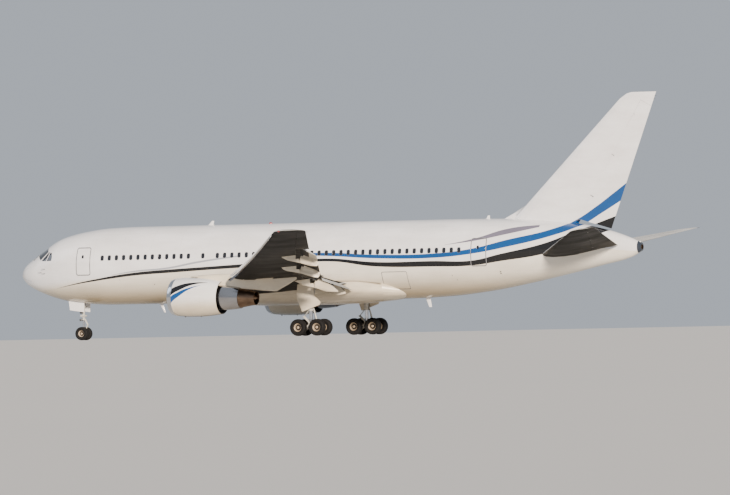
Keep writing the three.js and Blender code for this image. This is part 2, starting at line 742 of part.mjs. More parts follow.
for (const { name, from, to, tracks } of SLATS) {
  const inner = WING_STATIONS.map(({ y }) => y).filter((y) => y > from && y < to);
  const stations = [from, ...inner, to];
  const thick = (y) => between(WING_STATIONS, 'y', y, 'thick');
  const ends = (y) => (y === from ? from - SLAT.gap : y === to ? to + SLAT.gap : y);
  wing = cut(wing, loft(stations.map((y) => noseCutRing(ends(y), thick(y)))));
  let slat = loft(stations.map((y) => slatRing(y, thick(y))));
  for (let i = 0; i < tracks; i += 1) {
    const y = from + ((i + 0.5) / tracks) * (to - from);
    const chord = slatChord(y);
    const [x, z] = [wingLead(y), wingZ(y) + SLAT_RAIL.level * chord];
    const [front, back, high] = [SLAT_RAIL.front, SLAT_RAIL.back, SLAT_RAIL.high].map((share) => share * chord);
    const rail = (grow) => box(
      [x + front - grow, y - SLAT_RAIL.half - grow, z - high - grow],
      [x + back + grow, y + SLAT_RAIL.half + grow, z + high + grow],
    );
    wing = cut(wing, rail(SEAT));
    slat = join(slat, rail(0));
  }
  addPair(`slat_${name}`, slat, FINISH.polished);
}

// Engines and pylons

// The engine's own line slopes down aft
const enginePose = new THREE.Matrix4().makeTranslation(ENGINE.x, ENGINE.y, ENGINE.z)
  .multiply(new THREE.Matrix4().makeRotationY(ENGINE.pitch))
  .multiply(new THREE.Matrix4().makeTranslation(-ENGINE.x, -ENGINE.y, -ENGINE.z));

const cowlEnd = COWL_INSIDE[0].x;
const nacelleSolid = (grow) => {
  const side = (table, out) => table.map(({ x, radius }) => (
    { x: x + (x === cowlEnd ? grow : 0), radius: radius + out * grow }
  ));
  return turnedAboutX([...side(COWL_OUTSIDE, 1), ...side(COWL_INSIDE, -1)], ENGINE.y, ENGINE.z, ENGINE.sides);
};

const NOZZLE_START = 20550;
const coreOutside = (grow) => [
  { x: CORE_OUTSIDE[0].x - grow, radius: 0 },
  ...CORE_OUTSIDE.map(({ x, radius }, i) => (
    { x: x + (i === 0 ? -grow : 0) + (x > NOZZLE_START ? grow : 0), radius: radius + grow }
  )),
];

// Flat blades set round the engine's line, each turned by the stagger from that line
function radialBlades({ x, count, root, tip, chord, thick, stagger }) {
  const turn = THREE.MathUtils.degToRad(stagger);
  const [dx, dy] = [(Math.cos(turn) * chord) / 2, (Math.sin(turn) * chord) / 2];
  const [nx, ny] = [(-Math.sin(turn) * thick) / 2, (Math.cos(turn) * thick) / 2];
  const section = [[dx, dy], [nx, ny], [-dx, -dy], [-nx, -ny]];
  const blade = loft([root, tip].map((radius) => section.map(([along, across]) => [x + along, across, radius])));
  return Array.from({ length: count }, (_, i) => {
    const angle = ((i + 0.5) / count) * 2 * Math.PI;
    const matrix = new THREE.Matrix4().makeTranslation(0, ENGINE.y, ENGINE.z)
      .multiply(new THREE.Matrix4().makeRotationX(angle));
    return place(blade, matrix);
  });
}

const exhaustCone = { x: 21750, radius: 0 };
const core = turnedAboutX([...coreOutside(0), ...CORE_INSIDE, exhaustCone], ENGINE.y, ENGINE.z, ENGINE.sides);
const alongEngine = (x) => [x, ENGINE.y, ENGINE.z];
const [shaftStart, shaftEnd] = [FAN_HUB[4], FAN_HUB[5]];
const shaftHole = bore(
  alongEngine(FAN.x + shaftStart.aft),
  alongEngine(FAN.x + shaftEnd.aft + SEAT),
  shaftEnd.radius,
);
const duct = bar(alongEngine(DUCT.from), alongEngine(DUCT.to), DUCT.radius, DUCT.radius, ENGINE.sides);
const vanes = radialBlades(GUIDE_VANES).map((vane) => common(cut(vane, nacelleSolid(SEAT)), duct));
addPair('engine_core', place(cut(join(core, ...vanes), shaftHole), enginePose), FINISH.bronze);
addPair('nacelle', place(nacelleSolid(0), enginePose), FINISH.white);

const fanHub = turnedAboutX(
  FAN_HUB.map(({ aft, radius }) => ({ x: FAN.x + aft, radius })),
  ENGINE.y,
  ENGINE.z,
  FAN.count,
);
addPair('fan', place(join(fanHub, ...radialBlades(FAN)), enginePose), FINISH.steel);
const fanCentre = new THREE.Vector3(...alongEngine(FAN.x)).applyMatrix4(enginePose).toArray();
addPivotPair('fan', fanCentre, [Math.cos(ENGINE.pitch), 0, -Math.sin(ENGINE.pitch)]);

const pylonLoft = loft(PYLON.map((row) => {
  const starboard = PYLON_SECTION.map(([share, edge, off]) => [row.x, share * row.half, row[edge] + off]);
  const port = starboard.slice(1).reverse().map(([x, across, z]) => [x, -across, z]);
  return [...starboard, ...port].map(([x, across, z]) => [x, ENGINE.y + across, z]);
}));
const coreGrown = turnedAboutX([...coreOutside(SEAT), exhaustCone], ENGINE.y, ENGINE.z, ENGINE.sides);
const engineGrown = [nacelleSolid(SEAT), coreGrown].map((solid) => place(solid, enginePose));
addPair('pylon', cut(pylonLoft, ...engineGrown, wingGrown), FINISH.cream);

const wingPad = jackPad(WING_PAD, wingSkin(WING_PAD.x, WING_PAD.y, -1));
wing = cut(join(wing, wingPad), bodyGrown, fairingGrown);
addPair('wing', wing, FINISH.grey);

// Fin and rudder

const finLead = (z) => FIN.leadFoot + FIN.leadSlope * (z - FIN.footZ);
const finTrail = (z) => FIN.trailFoot + FIN.trailSlope * (z - FIN.footZ);
const RUDDER = { below: 1500, footZ: 2600, topZ: 10560, share: 0.67, lip: 60, noseFoot: 1.2, noseTop: 1.05 };
// The rudder's foot, seen from the side, rises toward the trailing edge
const RUDDER_FOOT = [[41000, -2000], [49000, -2000], [49000, 560], [41000, 3030]];
const finLoft = loft(FIN_STATIONS.map(({ z, lead, trail, thick }) => {
  const start = finLead(z) + lead;
  const chord = finTrail(z) - trail - start;
  return airfoil(thick, 0).map(([share, height]) => [start + share * chord, height * chord, z]);
}));
const DORSAL = rows('x z half', [
  [36700, 2450, 20],
  [36950, 2640, 40],
  [37700, 3010, 80],
  [38700, 3600, 120],
  [39900, 4300, 160],
]);
const DORSAL_SECTION = { footZ: 1200, foot: 1.6, shoulder: 150 };
const dorsal = loft(DORSAL.map(({ x, z, half }) => {
  const [foot, shoulder] = [half * DORSAL_SECTION.foot, z - DORSAL_SECTION.shoulder];
  const { footZ } = DORSAL_SECTION;
  return [[x, -foot, footZ], [x, foot, footZ], [x, half, shoulder], [x, 0, z], [x, -half, shoulder]];
}));
const hingePoint = (z) => {
  const chord = finTrail(z) - finLead(z);
  const thick = between(FIN_STATIONS, 'z', z, 'thick');
  return { point: [finLead(z) + RUDDER.share * chord, 0, z], half: halfThickness(RUDDER.share, thick) * chord };
};
const [rudderFoot, rudderTop] = [hingePoint(RUDDER.footZ), hingePoint(RUDDER.topZ)];
const rudderFrame = hingeFrame(rudderFoot.point, rudderTop.point, [0, -1, 0]);
const finSplit = splitAtHinge(finLoft, rudderFrame, {
  start: -RUDDER.below,
  end: rudderFrame.length,
  nose: rudderFoot.half * RUDDER.noseFoot,
  noseEnd: rudderTop.half * RUDDER.noseTop,
  lip: RUDDER.lip,
  brackets: [0.3, 0.6, 0.9],
});
addPart('fin', cut(join(finSplit.fixed, dorsal), bodyGrown), FINISH.white);
addPart('rudder', cut(finSplit.moving, sidePrism(RUDDER_FOOT, -FAR, FAR)), FINISH.white);
addPivot('rudder', rudderFrame.origin, rudderFrame.axis);

// Tailplane and elevators

const tailLead = (y) => TAILPLANE.apex + TAILPLANE.leadSlope * y;
const tailTrail = (y) => TAILPLANE.trail + TAILPLANE.trailSlope * y;
const tailZ = (x, y) => TAILPLANE.trailZ + TAILPLANE.dihedral * y - TAILPLANE.incidence * (tailTrail(y) - x);
const ELEVATOR = { from: 1480, to: 8850, share: 0.69, lip: 45 };
const tailLoft = loft(TAILPLANE_STATIONS.map(({ y, lead, trail, thick }) => {
  const start = tailLead(y) + lead;
  const chord = tailTrail(y) - trail - start;
  return airfoil(thick, 0).map(([share, height]) => (
    [start + share * chord, y, tailZ(start + share * chord, y) + height * chord]
  ));
}));
const elevatorPoint = (y) => {
  const chord = tailTrail(y) - tailLead(y);
  const thick = between(TAILPLANE_STATIONS, 'y', y, 'thick');
  const x = tailLead(y) + ELEVATOR.share * chord;
  return { point: [x, y, tailZ(x, y)], half: halfThickness(ELEVATOR.share, thick) * chord };
};
const [elevatorInner, elevatorOuter] = [elevatorPoint(ELEVATOR.from), elevatorPoint(ELEVATOR.to)];
const elevatorFrame = hingeFrame(elevatorInner.point, elevatorOuter.point, [0, 0, 1]);
const tailSplit = splitAtHinge(tailLoft, elevatorFrame, {
  start: 0,
  end: elevatorFrame.length,
  nose: elevatorInner.half,
  noseEnd: elevatorOuter.half,
  lip: ELEVATOR.lip,
  brackets: [0.12, 0.5, 0.88],
});
const besideTail = box([TAILPLANE.rootEnd, 0, -FAR], [LENGTH, TAILPLANE.rootHalf, FAR]);
addPair('stabilizer', cut(tailSplit.fixed, bodyGrown, besideTail), FINISH.cream);
addPair('elevator', tailSplit.moving, FINISH.cream);
addPivotPair('elevator', elevatorFrame.origin, elevatorFrame.axis);

// Landing gear

// Two tyred wheels on one axle, turned about a line across the aircraft, with a flat of each tyre on the ground
function wheelPair({ tyre, width, track, rim, axle }, x, y, z) {
  const outer = (track + width) / 2;
  const inner = (track - width) / 2;
  const wheel = (turn) => rows('radius across', [
    [axle, inner + 12],
    [tyre * 0.75, inner],
    [tyre * 0.95, inner + width * 0.1],
    [tyre, inner + width * 0.28],
    [tyre, outer - width * 0.28],
    [tyre * 0.95, outer - width * 0.1],
    [tyre * 0.75, outer],
    [rim, outer - 40],
    [0, outer - 75],
  ]).map(({ radius, across }) => new THREE.Vector2(radius, turn * across));
  const profile = [...wheel(-1).reverse(), ...wheel(1)];
  const corner = 1 / Math.cos(Math.PI / TYRE_SIDES);
  for (const point of profile) point.x *= corner;
  const geometry = new THREE.LatheGeometry(profile, TYRE_SIDES);
  return toSolid(geometry.rotateY(Math.PI / TYRE_SIDES).translate(x, y, z));
}

const noseAxleZ = GROUND + NOSE_GEAR.tyre;
const mainAxleZ = GROUND + MAIN_GEAR.tyre;
const { x: noseX } = NOSE_GEAR;
const { x: mainX, y: mainY } = MAIN_GEAR;
const axles = [mainX - MAIN_GEAR.wheelbase / 2, mainX + MAIN_GEAR.wheelbase / 2];

// Round members, whose ends are given aft of the strut, out from it and up from the aircraft's own level
const NOSE_STRUT = { radius: 110, bottom: -3560, socket: -3080, piston: 80 };
const NOSE_LEG_BARS = rows('radius from to', [
  [NOSE_STRUT.radius, [0, 0, NOSE_STRUT.bottom], [0, 0, -2300]],
  [55, [0, -420, -2800], [0, 420, -2800]],
  [45, [0, 0, -3150], [-900, 0, -2380]],
  [40, [-900, -260, -2400], [-900, 260, -2400]],
]);
const NOSE_FORK_BARS = rows('radius from to', [
  [NOSE_STRUT.piston, [0, 0, noseAxleZ], [0, 0, NOSE_STRUT.socket]],
  [110, [0, -90, noseAxleZ], [0, 90, noseAxleZ]],
]);
const MAIN_STRUT = { radius: 185, bottom: -3420, piston: 130, beam: 115, housing: 150, housingHalf: 190 };
const MAIN_LEG_BARS = rows('radius from to', [
  [MAIN_STRUT.radius, [0, 0, MAIN_STRUT.bottom], [0, 0, -1300]],
  [MAIN_STRUT.piston, [0, 0, mainAxleZ], [0, 0, -3220]],
  [75, [0, 0, -2900], [0, -1000, -1500]],
  [70, [0, 0, -2900], [-1300, -500, -1300]],
]);
// Torque links seen from the side, aft of the strut and up, lower link first
const NOSE_LINKS = { half: 45, outlines: [
  [[60, -4500], [130, -4480], [340, -4080], [300, -4040]],
  [[300, -4090], [340, -4050], [130, -3620], [60, -3670]],
] };
const MAIN_LINKS = { half: 60, outlines: [
  [[-560, -3870], [-500, -3780], [-60, -4220], [-60, -4340]],
  [[-150, -3410], [-60, -3300], [-500, -3780], [-560, -3860]],
] };

const barsAt = (x, y, table) => table.map(({ radius, from, to }) => {
  const end = ([aft, out, z]) => [x + aft, y + out, z];
  return bar(end(from), end(to), radius);
});
const linksAt = (x, y, { half, outlines }) => outlines.map((outline) => (
  sidePrism(outline.map(([aft, z]) => [x + aft, z]), y - half, y + half)
));
const axleBore = ({ axle }, x, y, z, half) => (
  bore([x, y - half, z], [x, y + half, z], axle / Math.cos(Math.PI / TYRE_SIDES))
);

const noseLeg = cut(
  join(...barsAt(noseX, 0, NOSE_LEG_BARS)),
  bore([noseX, 0, NOSE_STRUT.bottom - CLEAR], [noseX, 0, NOSE_STRUT.socket + CLEAR], NOSE_STRUT.piston),
  bodyGrown,
);
const noseFork = cut(
  join(...barsAt(noseX, 0, NOSE_FORK_BARS), ...linksAt(noseX, 0, NOSE_LINKS)),
  axleBore(NOSE_GEAR, noseX, 0, noseAxleZ, NOSE_GEAR.track / 2),
);
addPart('nose_leg', noseLeg, FINISH.steel);
addPart('nose_fork', noseFork, FINISH.steel);
addPart('nose_wheels', wheelPair(NOSE_GEAR, noseX, 0, noseAxleZ), FINISH.rubber);
addPivot('nose_steering', [noseX, 0, noseAxleZ], [0, 0, 1]);
addPivot('nose_wheels', [noseX, 0, noseAxleZ], [0, 1, 0]);

const NOSE_DOOR = { y: 470, thick: 36 };
const NOSE_DOOR_OUTLINE = [[3720, -2300], [4930, -2300], [4900, -3180], [3810, -3020]];
const noseDoor = cut(sidePrism(NOSE_DOOR_OUTLINE, NOSE_DOOR.y, NOSE_DOOR.y + NOSE_DOOR.thick), bodyGrown);
addPair('nose_gear_door', noseDoor, FINISH.white);

const { beam, housing, housingHalf } = MAIN_STRUT;
const mainLeg = cut(
  join(
    ...barsAt(mainX, mainY, MAIN_LEG_BARS),
    ...linksAt(mainX, mainY, MAIN_LINKS),
    bar([axles[0], mainY, mainAxleZ], [axles[1], mainY, mainAxleZ], beam),
    ...axles.map((x) => bar([x, mainY - housingHalf, mainAxleZ], [x, mainY + housingHalf, mainAxleZ], housing)),
  ),
  ...axles.map((x) => axleBore(MAIN_GEAR, x, mainY, mainAxleZ, MAIN_GEAR.track / 4)),
  wingGrown,
  bodyGrown,
  fairingGrown,
);
addPair('main_leg', mainLeg, FINISH.steel);

for (const [i, axle] of ['front', 'rear'].entries()) {
  addPair(`main_wheels_${axle}`, wheelPair(MAIN_GEAR, axles[i], mainY, mainAxleZ), FINISH.rubber);
  addPivot(`main_wheels_${axle}_right`, [axles[i], mainY, mainAxleZ], [0, 1, 0]);
  addPivot(`main_wheels_${axle}_left`, [axles[i], -mainY, mainAxleZ], [0, 1, 0]);
}

const MAIN_DOOR = { out: 290, thick: 50, rodHalf: 40 };
const MAIN_DOOR_RODS = [-2460, -2910];
const MAIN_DOOR_OUTLINE = [
  [23450, -1500], [24620, -1500], [24720, -2400], [25170, -2830], [25080, -3020], [23770, -3480], [23370, -2470],
];
const [doorIn, doorOut] = [mainY + MAIN_DOOR.out, mainY + MAIN_DOOR.out + MAIN_DOOR.thick];
const doorRod = (z) => box(
  [mainX - MAIN_DOOR.rodHalf, mainY, z - MAIN_DOOR.rodHalf],
  [mainX + MAIN_DOOR.rodHalf, doorIn + MAIN_DOOR.thick / 2, z + MAIN_DOOR.rodHalf],
);
const mainDoor = cut(
  join(sidePrism(MAIN_DOOR_OUTLINE, doorIn, doorOut), ...MAIN_DOOR_RODS.map(doorRod)),
  bore([mainX, mainY, MAIN_STRUT.bottom], [mainX, mainY, 0], MAIN_STRUT.radius),
  wingGrown,
);
addPair('main_gear_door', mainDoor, FINISH.cream);

airliner.scale.setScalar(SCALE);
airliner.position.set((-LENGTH / 2) * SCALE, 0, -GROUND * SCALE);
airliner.userData.pivots = pivots;
airliner.userData.pads = {
  nose: [NOSE_PAD.x, NOSE_PAD.y, between(FUSELAGE, 'x', NOSE_PAD.x, 'bottom') - JACK_PAD.face],
  wing: [WING_PAD.x, WING_PAD.y, wingSkin(WING_PAD.x, WING_PAD.y, -1) - JACK_PAD.face],
};

export default airliner;
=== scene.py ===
"""Looks of a wide body airliner at half its real size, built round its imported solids.

Sizes in the tables are the real aircraft's, in metres: x aft from the nose tip, y to starboard and z up
from the middle of the round cabin. Model.at turns such a place into the model's own.
"""
from __future__ import annotations

import json
import logging
import math
from dataclasses import dataclass, field
from enum import Enum

import bmesh
import bpy
from bmesh.types import BMEdge, BMesh, BMFace, BMVert
from bpy.types import Material, Mesh, Node, NodeSocket, NodeTree, Object
from mathutils import Matrix, Vector
from mathutils.bvhtree import BVHTree

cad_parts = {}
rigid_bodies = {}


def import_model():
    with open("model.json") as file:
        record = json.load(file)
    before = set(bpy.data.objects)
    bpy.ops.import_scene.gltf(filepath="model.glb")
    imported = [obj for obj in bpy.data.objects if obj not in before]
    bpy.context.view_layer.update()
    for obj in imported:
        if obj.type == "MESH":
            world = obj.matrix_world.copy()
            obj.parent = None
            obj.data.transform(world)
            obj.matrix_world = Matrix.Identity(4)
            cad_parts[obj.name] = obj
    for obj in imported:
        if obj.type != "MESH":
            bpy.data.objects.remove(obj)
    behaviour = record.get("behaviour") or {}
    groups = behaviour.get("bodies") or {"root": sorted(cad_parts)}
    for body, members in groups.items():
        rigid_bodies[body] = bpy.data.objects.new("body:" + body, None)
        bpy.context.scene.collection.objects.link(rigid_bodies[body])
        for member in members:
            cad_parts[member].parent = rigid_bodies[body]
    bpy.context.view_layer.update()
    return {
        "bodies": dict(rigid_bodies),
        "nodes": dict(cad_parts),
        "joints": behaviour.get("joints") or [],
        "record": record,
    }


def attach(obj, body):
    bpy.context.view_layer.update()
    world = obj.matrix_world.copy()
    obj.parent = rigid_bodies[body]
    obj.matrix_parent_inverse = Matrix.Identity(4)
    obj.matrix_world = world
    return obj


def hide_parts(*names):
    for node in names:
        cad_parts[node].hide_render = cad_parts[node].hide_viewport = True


LOG = logging.getLogger("airliner")
TAU = 2 * math.pi
UP = Vector((0, 0, 1))
Row = tuple[float, ...]


class Model:
    """Where the half size model stands: on the floor, with its middle over the origin."""

    scale = 0.5
    middle = 24.255
    ground = 5.15

    @classmethod
    def at(cls, x: float, y: float, z: float) -> Vector:
        """Gives the model's place for a place on the real aircraft."""
        return Vector(((x - cls.middle) * cls.scale, y * cls.scale, (z + cls.ground) * cls.scale))

    @classmethod
    def matrix(cls) -> Matrix:
        """Gives the transform from the real aircraft's metres to the model's."""
        return Matrix.Scale(cls.scale, 4) @ Matrix.Translation((-cls.middle, 0, cls.ground))


class Side(Enum):
    """Port or starboard, as the sign of y."""

    LEFT = -1
    RIGHT = 1

    @property
    def word(self) -> str:
        """Gives the ending that the side's node names have."""
        return self.name.lower()


# Finishes


def linear(code: str) -> tuple[float, float, float, float]:
    """Turns an sRGB hex colour into linear red, green, blue and alpha."""
    parts = [int(code[i:i + 2], 16) / 255 for i in (1, 3, 5)]
    return (*[p / 12.92 if p <= 0.04045 else ((p + 0.055) / 1.055) ** 2.4 for p in parts], 1.0)


def add_node(tree: NodeTree, kind: str, settings: dict | None = None, **inputs: object) -> Node:
    """Adds a node to a tree.

    Args:
        tree: The material's node tree.
        kind: The node's type, without the word ShaderNode.
        settings: Properties of the node.
        inputs: Values or sockets by input name, with _ for a space, or in_N for input N.

    Returns:
        The node.
    """
    node = tree.nodes.new("ShaderNode" + kind)
    for key, value in (settings or {}).items():
        setattr(node, key, value)
    for key, value in inputs.items():
        socket = node.inputs[int(key[3:])] if key.startswith("in_") else node.inputs[key.replace("_", " ")]
        if isinstance(value, NodeSocket):
            tree.links.new(value, socket)
        else:
            socket.default_value = value
    return node


@dataclass(frozen=True)
class Finish:
    """A surface as its maker left it, with the dirt and wear that use put on it.

    colour is the clean surface and soil what collects on it, up to a share of soiling; grain is the size of
    the soiled patches and ripple that of the fine unevenness, both in millimetres on the model.
    """

    name: str
    colour: str
    soil: str
    roughness: float
    metallic: float = 0.0
    coat: float = 0.0
    soiling: float = 0.25
    grain: float = 600.0
    ripple: float = 30.0
    height: float = 0.15
    stretch: tuple[float, float, float] = (0.3, 1.0, 1.0)
    blend: str = "MIX"
    specular: float = 0.5

    def base(self, tree: NodeTree, place: NodeSocket) -> NodeSocket | tuple:
        """Gives the clean surface's colour, which is one colour unless a finish has a pattern."""
        return linear(self.colour)

    def material(self) -> Material:
        """Builds the material once and gives it."""
        made = bpy.data.materials.get(self.name)
        if made:
            return made
        made = bpy.data.materials.new(self.name)
        made.use_nodes = True
        tree = made.node_tree
        tree.nodes.clear()
        place = add_node(tree, "TexCoord").outputs["Object"]
        # Soil lies in patches that are drawn out along the flow, and dulls what it covers
        along = add_node(tree, "Mapping", Vector=place, Scale=self.stretch).outputs[0]
        noise = add_node(tree, "TexNoise", Vector=along, Scale=1000 / self.grain, Detail=6.0, Roughness=0.62)
        soil = noise.outputs[0]
        shade = add_node(tree, "MapRange", Value=soil, From_Min=0.38, From_Max=0.78, To_Max=self.soiling)
        colour = add_node(
            tree, "MixRGB", {"blend_type": self.blend}, in_0=shade.outputs[0], in_1=self.base(tree, place),
            in_2=linear(self.soil),
        )
        rough = add_node(
            tree, "MapRange", Value=soil, From_Min=0.3, From_Max=0.8,
            To_Min=self.roughness * 0.85, To_Max=min(1.0, self.roughness * 1.35 + 0.02),
        )
        fine = add_node(tree, "TexNoise", Vector=place, Scale=1000 / self.ripple, Detail=4.0).outputs[0]
        bump = add_node(tree, "Bump", Height=fine, Strength=self.height, Distance=0.002)
        shader = add_node(
            tree, "BsdfPrincipled", Base_Color=colour.outputs[0], Metallic=self.metallic,
            Roughness=rough.outputs[0], Coat_Weight=self.coat, Coat_Roughness=0.06, Normal=bump.outputs[0],
            Specular_IOR_Level=self.specular,
        )
        add_node(tree, "OutputMaterial", Surface=shader.outputs[0])
        return made


@dataclass(frozen=True)
class Stripe:
    """A painted band seen from the side, between an upper and a lower edge given as x and z in metres.

    depth is the range of heights that its edges are drawn in. nose_soft is how far its edge fades at the
    nose, which tapers to the crisp edge of the rest by the end of the stretch called nose.
    """

    colour: str
    upper: tuple[Row, ...]
    lower: tuple[Row, ...]
    depth: tuple[float, float] = (-6.0, 8.0)
    crisp: float = 0.004
    nose_soft: float = 0.004
    nose: tuple[float, float] = (1.5, 8.0)

    def edge(self, tree: NodeTree, x: NodeSocket, points: tuple[Row, ...]) -> NodeSocket:
        """Draws one edge as a smooth curve of height over length.

        Args:
            tree: The material's node tree.
            x: The place along the model.
            points: The edge's x and z in metres.

        Returns:
            The edge's height on the model at x.
        """
        start, end = (Model.at(row[0], 0, 0).x for row in (points[0], points[-1]))
        low, high = (Model.at(0, 0, value).z for value in self.depth)
        share = add_node(tree, "MapRange", Value=x, From_Min=start, From_Max=end)
        node = add_node(tree, "FloatCurve", Value=share.outputs[0])
        curve = node.mapping.curves[0]
        places = [((Model.at(a, 0, 0).x - start) / (end - start), (Model.at(0, 0, b).z - low) / (high - low))
                  for a, b in points]
        curve.points[0].location, curve.points[1].location = places[0], places[-1]
        for point in places[1:-1]:
            curve.points.new(*point)
        node.mapping.update()
        return add_node(tree, "MapRange", Value=node.outputs[0], To_Min=low, To_Max=high).outputs[0]

    def mask(self, tree: NodeTree, x: NodeSocket, z: NodeSocket) -> NodeSocket:
        """Gives 1 inside the band and 0 outside it, from how far inside its nearest edge a place is."""
        start, end = (Model.at(row[0], 0, 0).x for row in (self.upper[0], self.upper[-1]))
        lower, upper = self.edge(tree, x, self.lower), self.edge(tree, x, self.upper)
        depths = [
            add_node(tree, "Math", {"operation": "SUBTRACT"}, in_0=more, in_1=less).outputs[0]
            for more, less in ((z, lower), (upper, z), (x, start), (end, x))
        ]
        inside = depths[0]
        for depth in depths[1:]:
            inside = add_node(tree, "Math", {"operation": "MINIMUM"}, in_0=inside, in_1=depth).outputs[0]
        near, far = (Model.at(value, 0, 0).x for value in self.nose)
        soft = add_node(
            tree, "MapRange", Value=x, From_Min=near, From_Max=far, To_Min=self.nose_soft, To_Max=self.crisp,
        )
        return add_node(tree, "MapRange", Value=inside, From_Min=0.0, From_Max=soft.outputs[0]).outputs[0]


@dataclass(frozen=True)
class StripedPaint(Finish):
    """Gloss paint with a painted shade that darkens it down to the belly, with painted bands and skin joints
    over it.

    joint_pitch is the spacing of the ring joints on the model and laps are the heights of the lap joints.
    """

    # Painted shade: the colour that the paint darkens to towards the belly, and the heights over which it
    # darkens
    belly: str = "#a3916f"
    belly_line: tuple[float, float] = (-2.75, -0.7)
    stripes: tuple[Stripe, ...] = ()
    joint_pitch: float = 0.0
    joint_colour: str = "#6f6b66"
    joint_share: float = 0.28
    laps: tuple[float, ...] = ()

    def joints(self, tree: NodeTree, x: NodeSocket, z: NodeSocket) -> NodeSocket:
        """Gives 1 on the skin's ring and lap joints, drawn 4 mm wide so that they show, and 0 elsewhere."""
        half = self.joint_pitch / 2
        across = add_node(tree, "Math", {"operation": "PINGPONG"}, in_0=x, in_1=half).outputs[0]
        for lap in self.laps:
            line = Model.at(0, 0, lap).z
            off = add_node(tree, "Math", {"operation": "SUBTRACT"}, in_0=z, in_1=line).outputs[0]
            away = add_node(tree, "Math", {"operation": "ABSOLUTE"}, in_0=off).outputs[0]
            across = add_node(tree, "Math", {"operation": "MINIMUM"}, in_0=across, in_1=away).outputs[0]
        return add_node(
            tree, "MapRange", Value=across, From_Min=0.001, From_Max=0.003, To_Min=1.0, To_Max=0.0,
        ).outputs[0]

    def base(self, tree: NodeTree, place: NodeSocket) -> NodeSocket:
        """Gives the clean colour over the painted shade of the belly, with the bands and joints on top."""
        parts = add_node(tree, "SeparateXYZ", Vector=place)
        x, z = parts.outputs[0], parts.outputs[2]
        # Painted shade: below the upper heights the clean colour fades into the belly's shaded colour
        low, high = (Model.at(0, 0, value).z for value in self.belly_line)
        eased_in = {"interpolation_type": "SMOOTHSTEP"}
        upper = add_node(tree, "MapRange", eased_in, Value=z, From_Min=low, From_Max=high)
        colour = linear(self.belly)
        coats = [(upper.outputs[0], self.colour)]
        coats += [(stripe.mask(tree, x, z), stripe.colour) for stripe in self.stripes]
        if self.joint_pitch:
            drawn = self.joints(tree, x, z)
            faint = add_node(tree, "Math", {"operation": "MULTIPLY"}, in_0=drawn, in_1=self.joint_share)
            coats.append((faint.outputs[0], self.joint_colour))
        for share, over in coats:
            colour = add_node(tree, "MixRGB", in_0=share, in_1=colour, in_2=linear(over)).outputs[0]
        return colour


@dataclass(frozen=True)
class TwoSidedPaint(Finish):
    """Paint that is one colour where the surface looks up and a painted shade where it looks down, with panel
    seams.

    panel is the length and height of the panels, and seam half the width of the lines between them.
    """

    # Painted shade: the dark colour that stands for the shade on faces that look down
    under: str = "#5a5955"
    panel: tuple[float, float] = (0.62, 0.34)
    seam: float = 0.0022
    seam_share: float = 0.6

    def base(self, tree: NodeTree, place: NodeSocket) -> NodeSocket:
        """Gives the upper colour and the painted shade below, each broken by thin seams a few millimetres
        wide.
        """
        normal = add_node(tree, "TexCoord").outputs["Normal"]
        up = add_node(tree, "SeparateXYZ", Vector=normal).outputs[2]
        # Faces that look down take the painted shade
        share = add_node(tree, "MapRange", Value=up, From_Min=-0.15, From_Max=0.15).outputs[0]
        colour = add_node(tree, "MixRGB", in_0=share, in_1=linear(self.under), in_2=linear(self.colour))
        seams = add_node(
            tree, "TexBrick", {"offset": 0.5}, Vector=place, Color1=(1, 1, 1, 1),
            Color2=(0.93, 0.93, 0.93, 1), Mortar=(0.45, 0.45, 0.45, 1), Scale=1.0, Mortar_Size=self.seam,
            Brick_Width=self.panel[0], Row_Height=self.panel[1],
        )
        return add_node(
            tree, "MixRGB", {"blend_type": "MULTIPLY"}, in_0=self.seam_share, in_1=colour.outputs[0],
            in_2=seams.outputs[0],
        ).outputs[0]


WHITE, BLACK, BLUE, MAUVE, SILVER = "#eeeef1", "#08080b", "#0d4684", "#6f6b7c", "#9fa3ad"

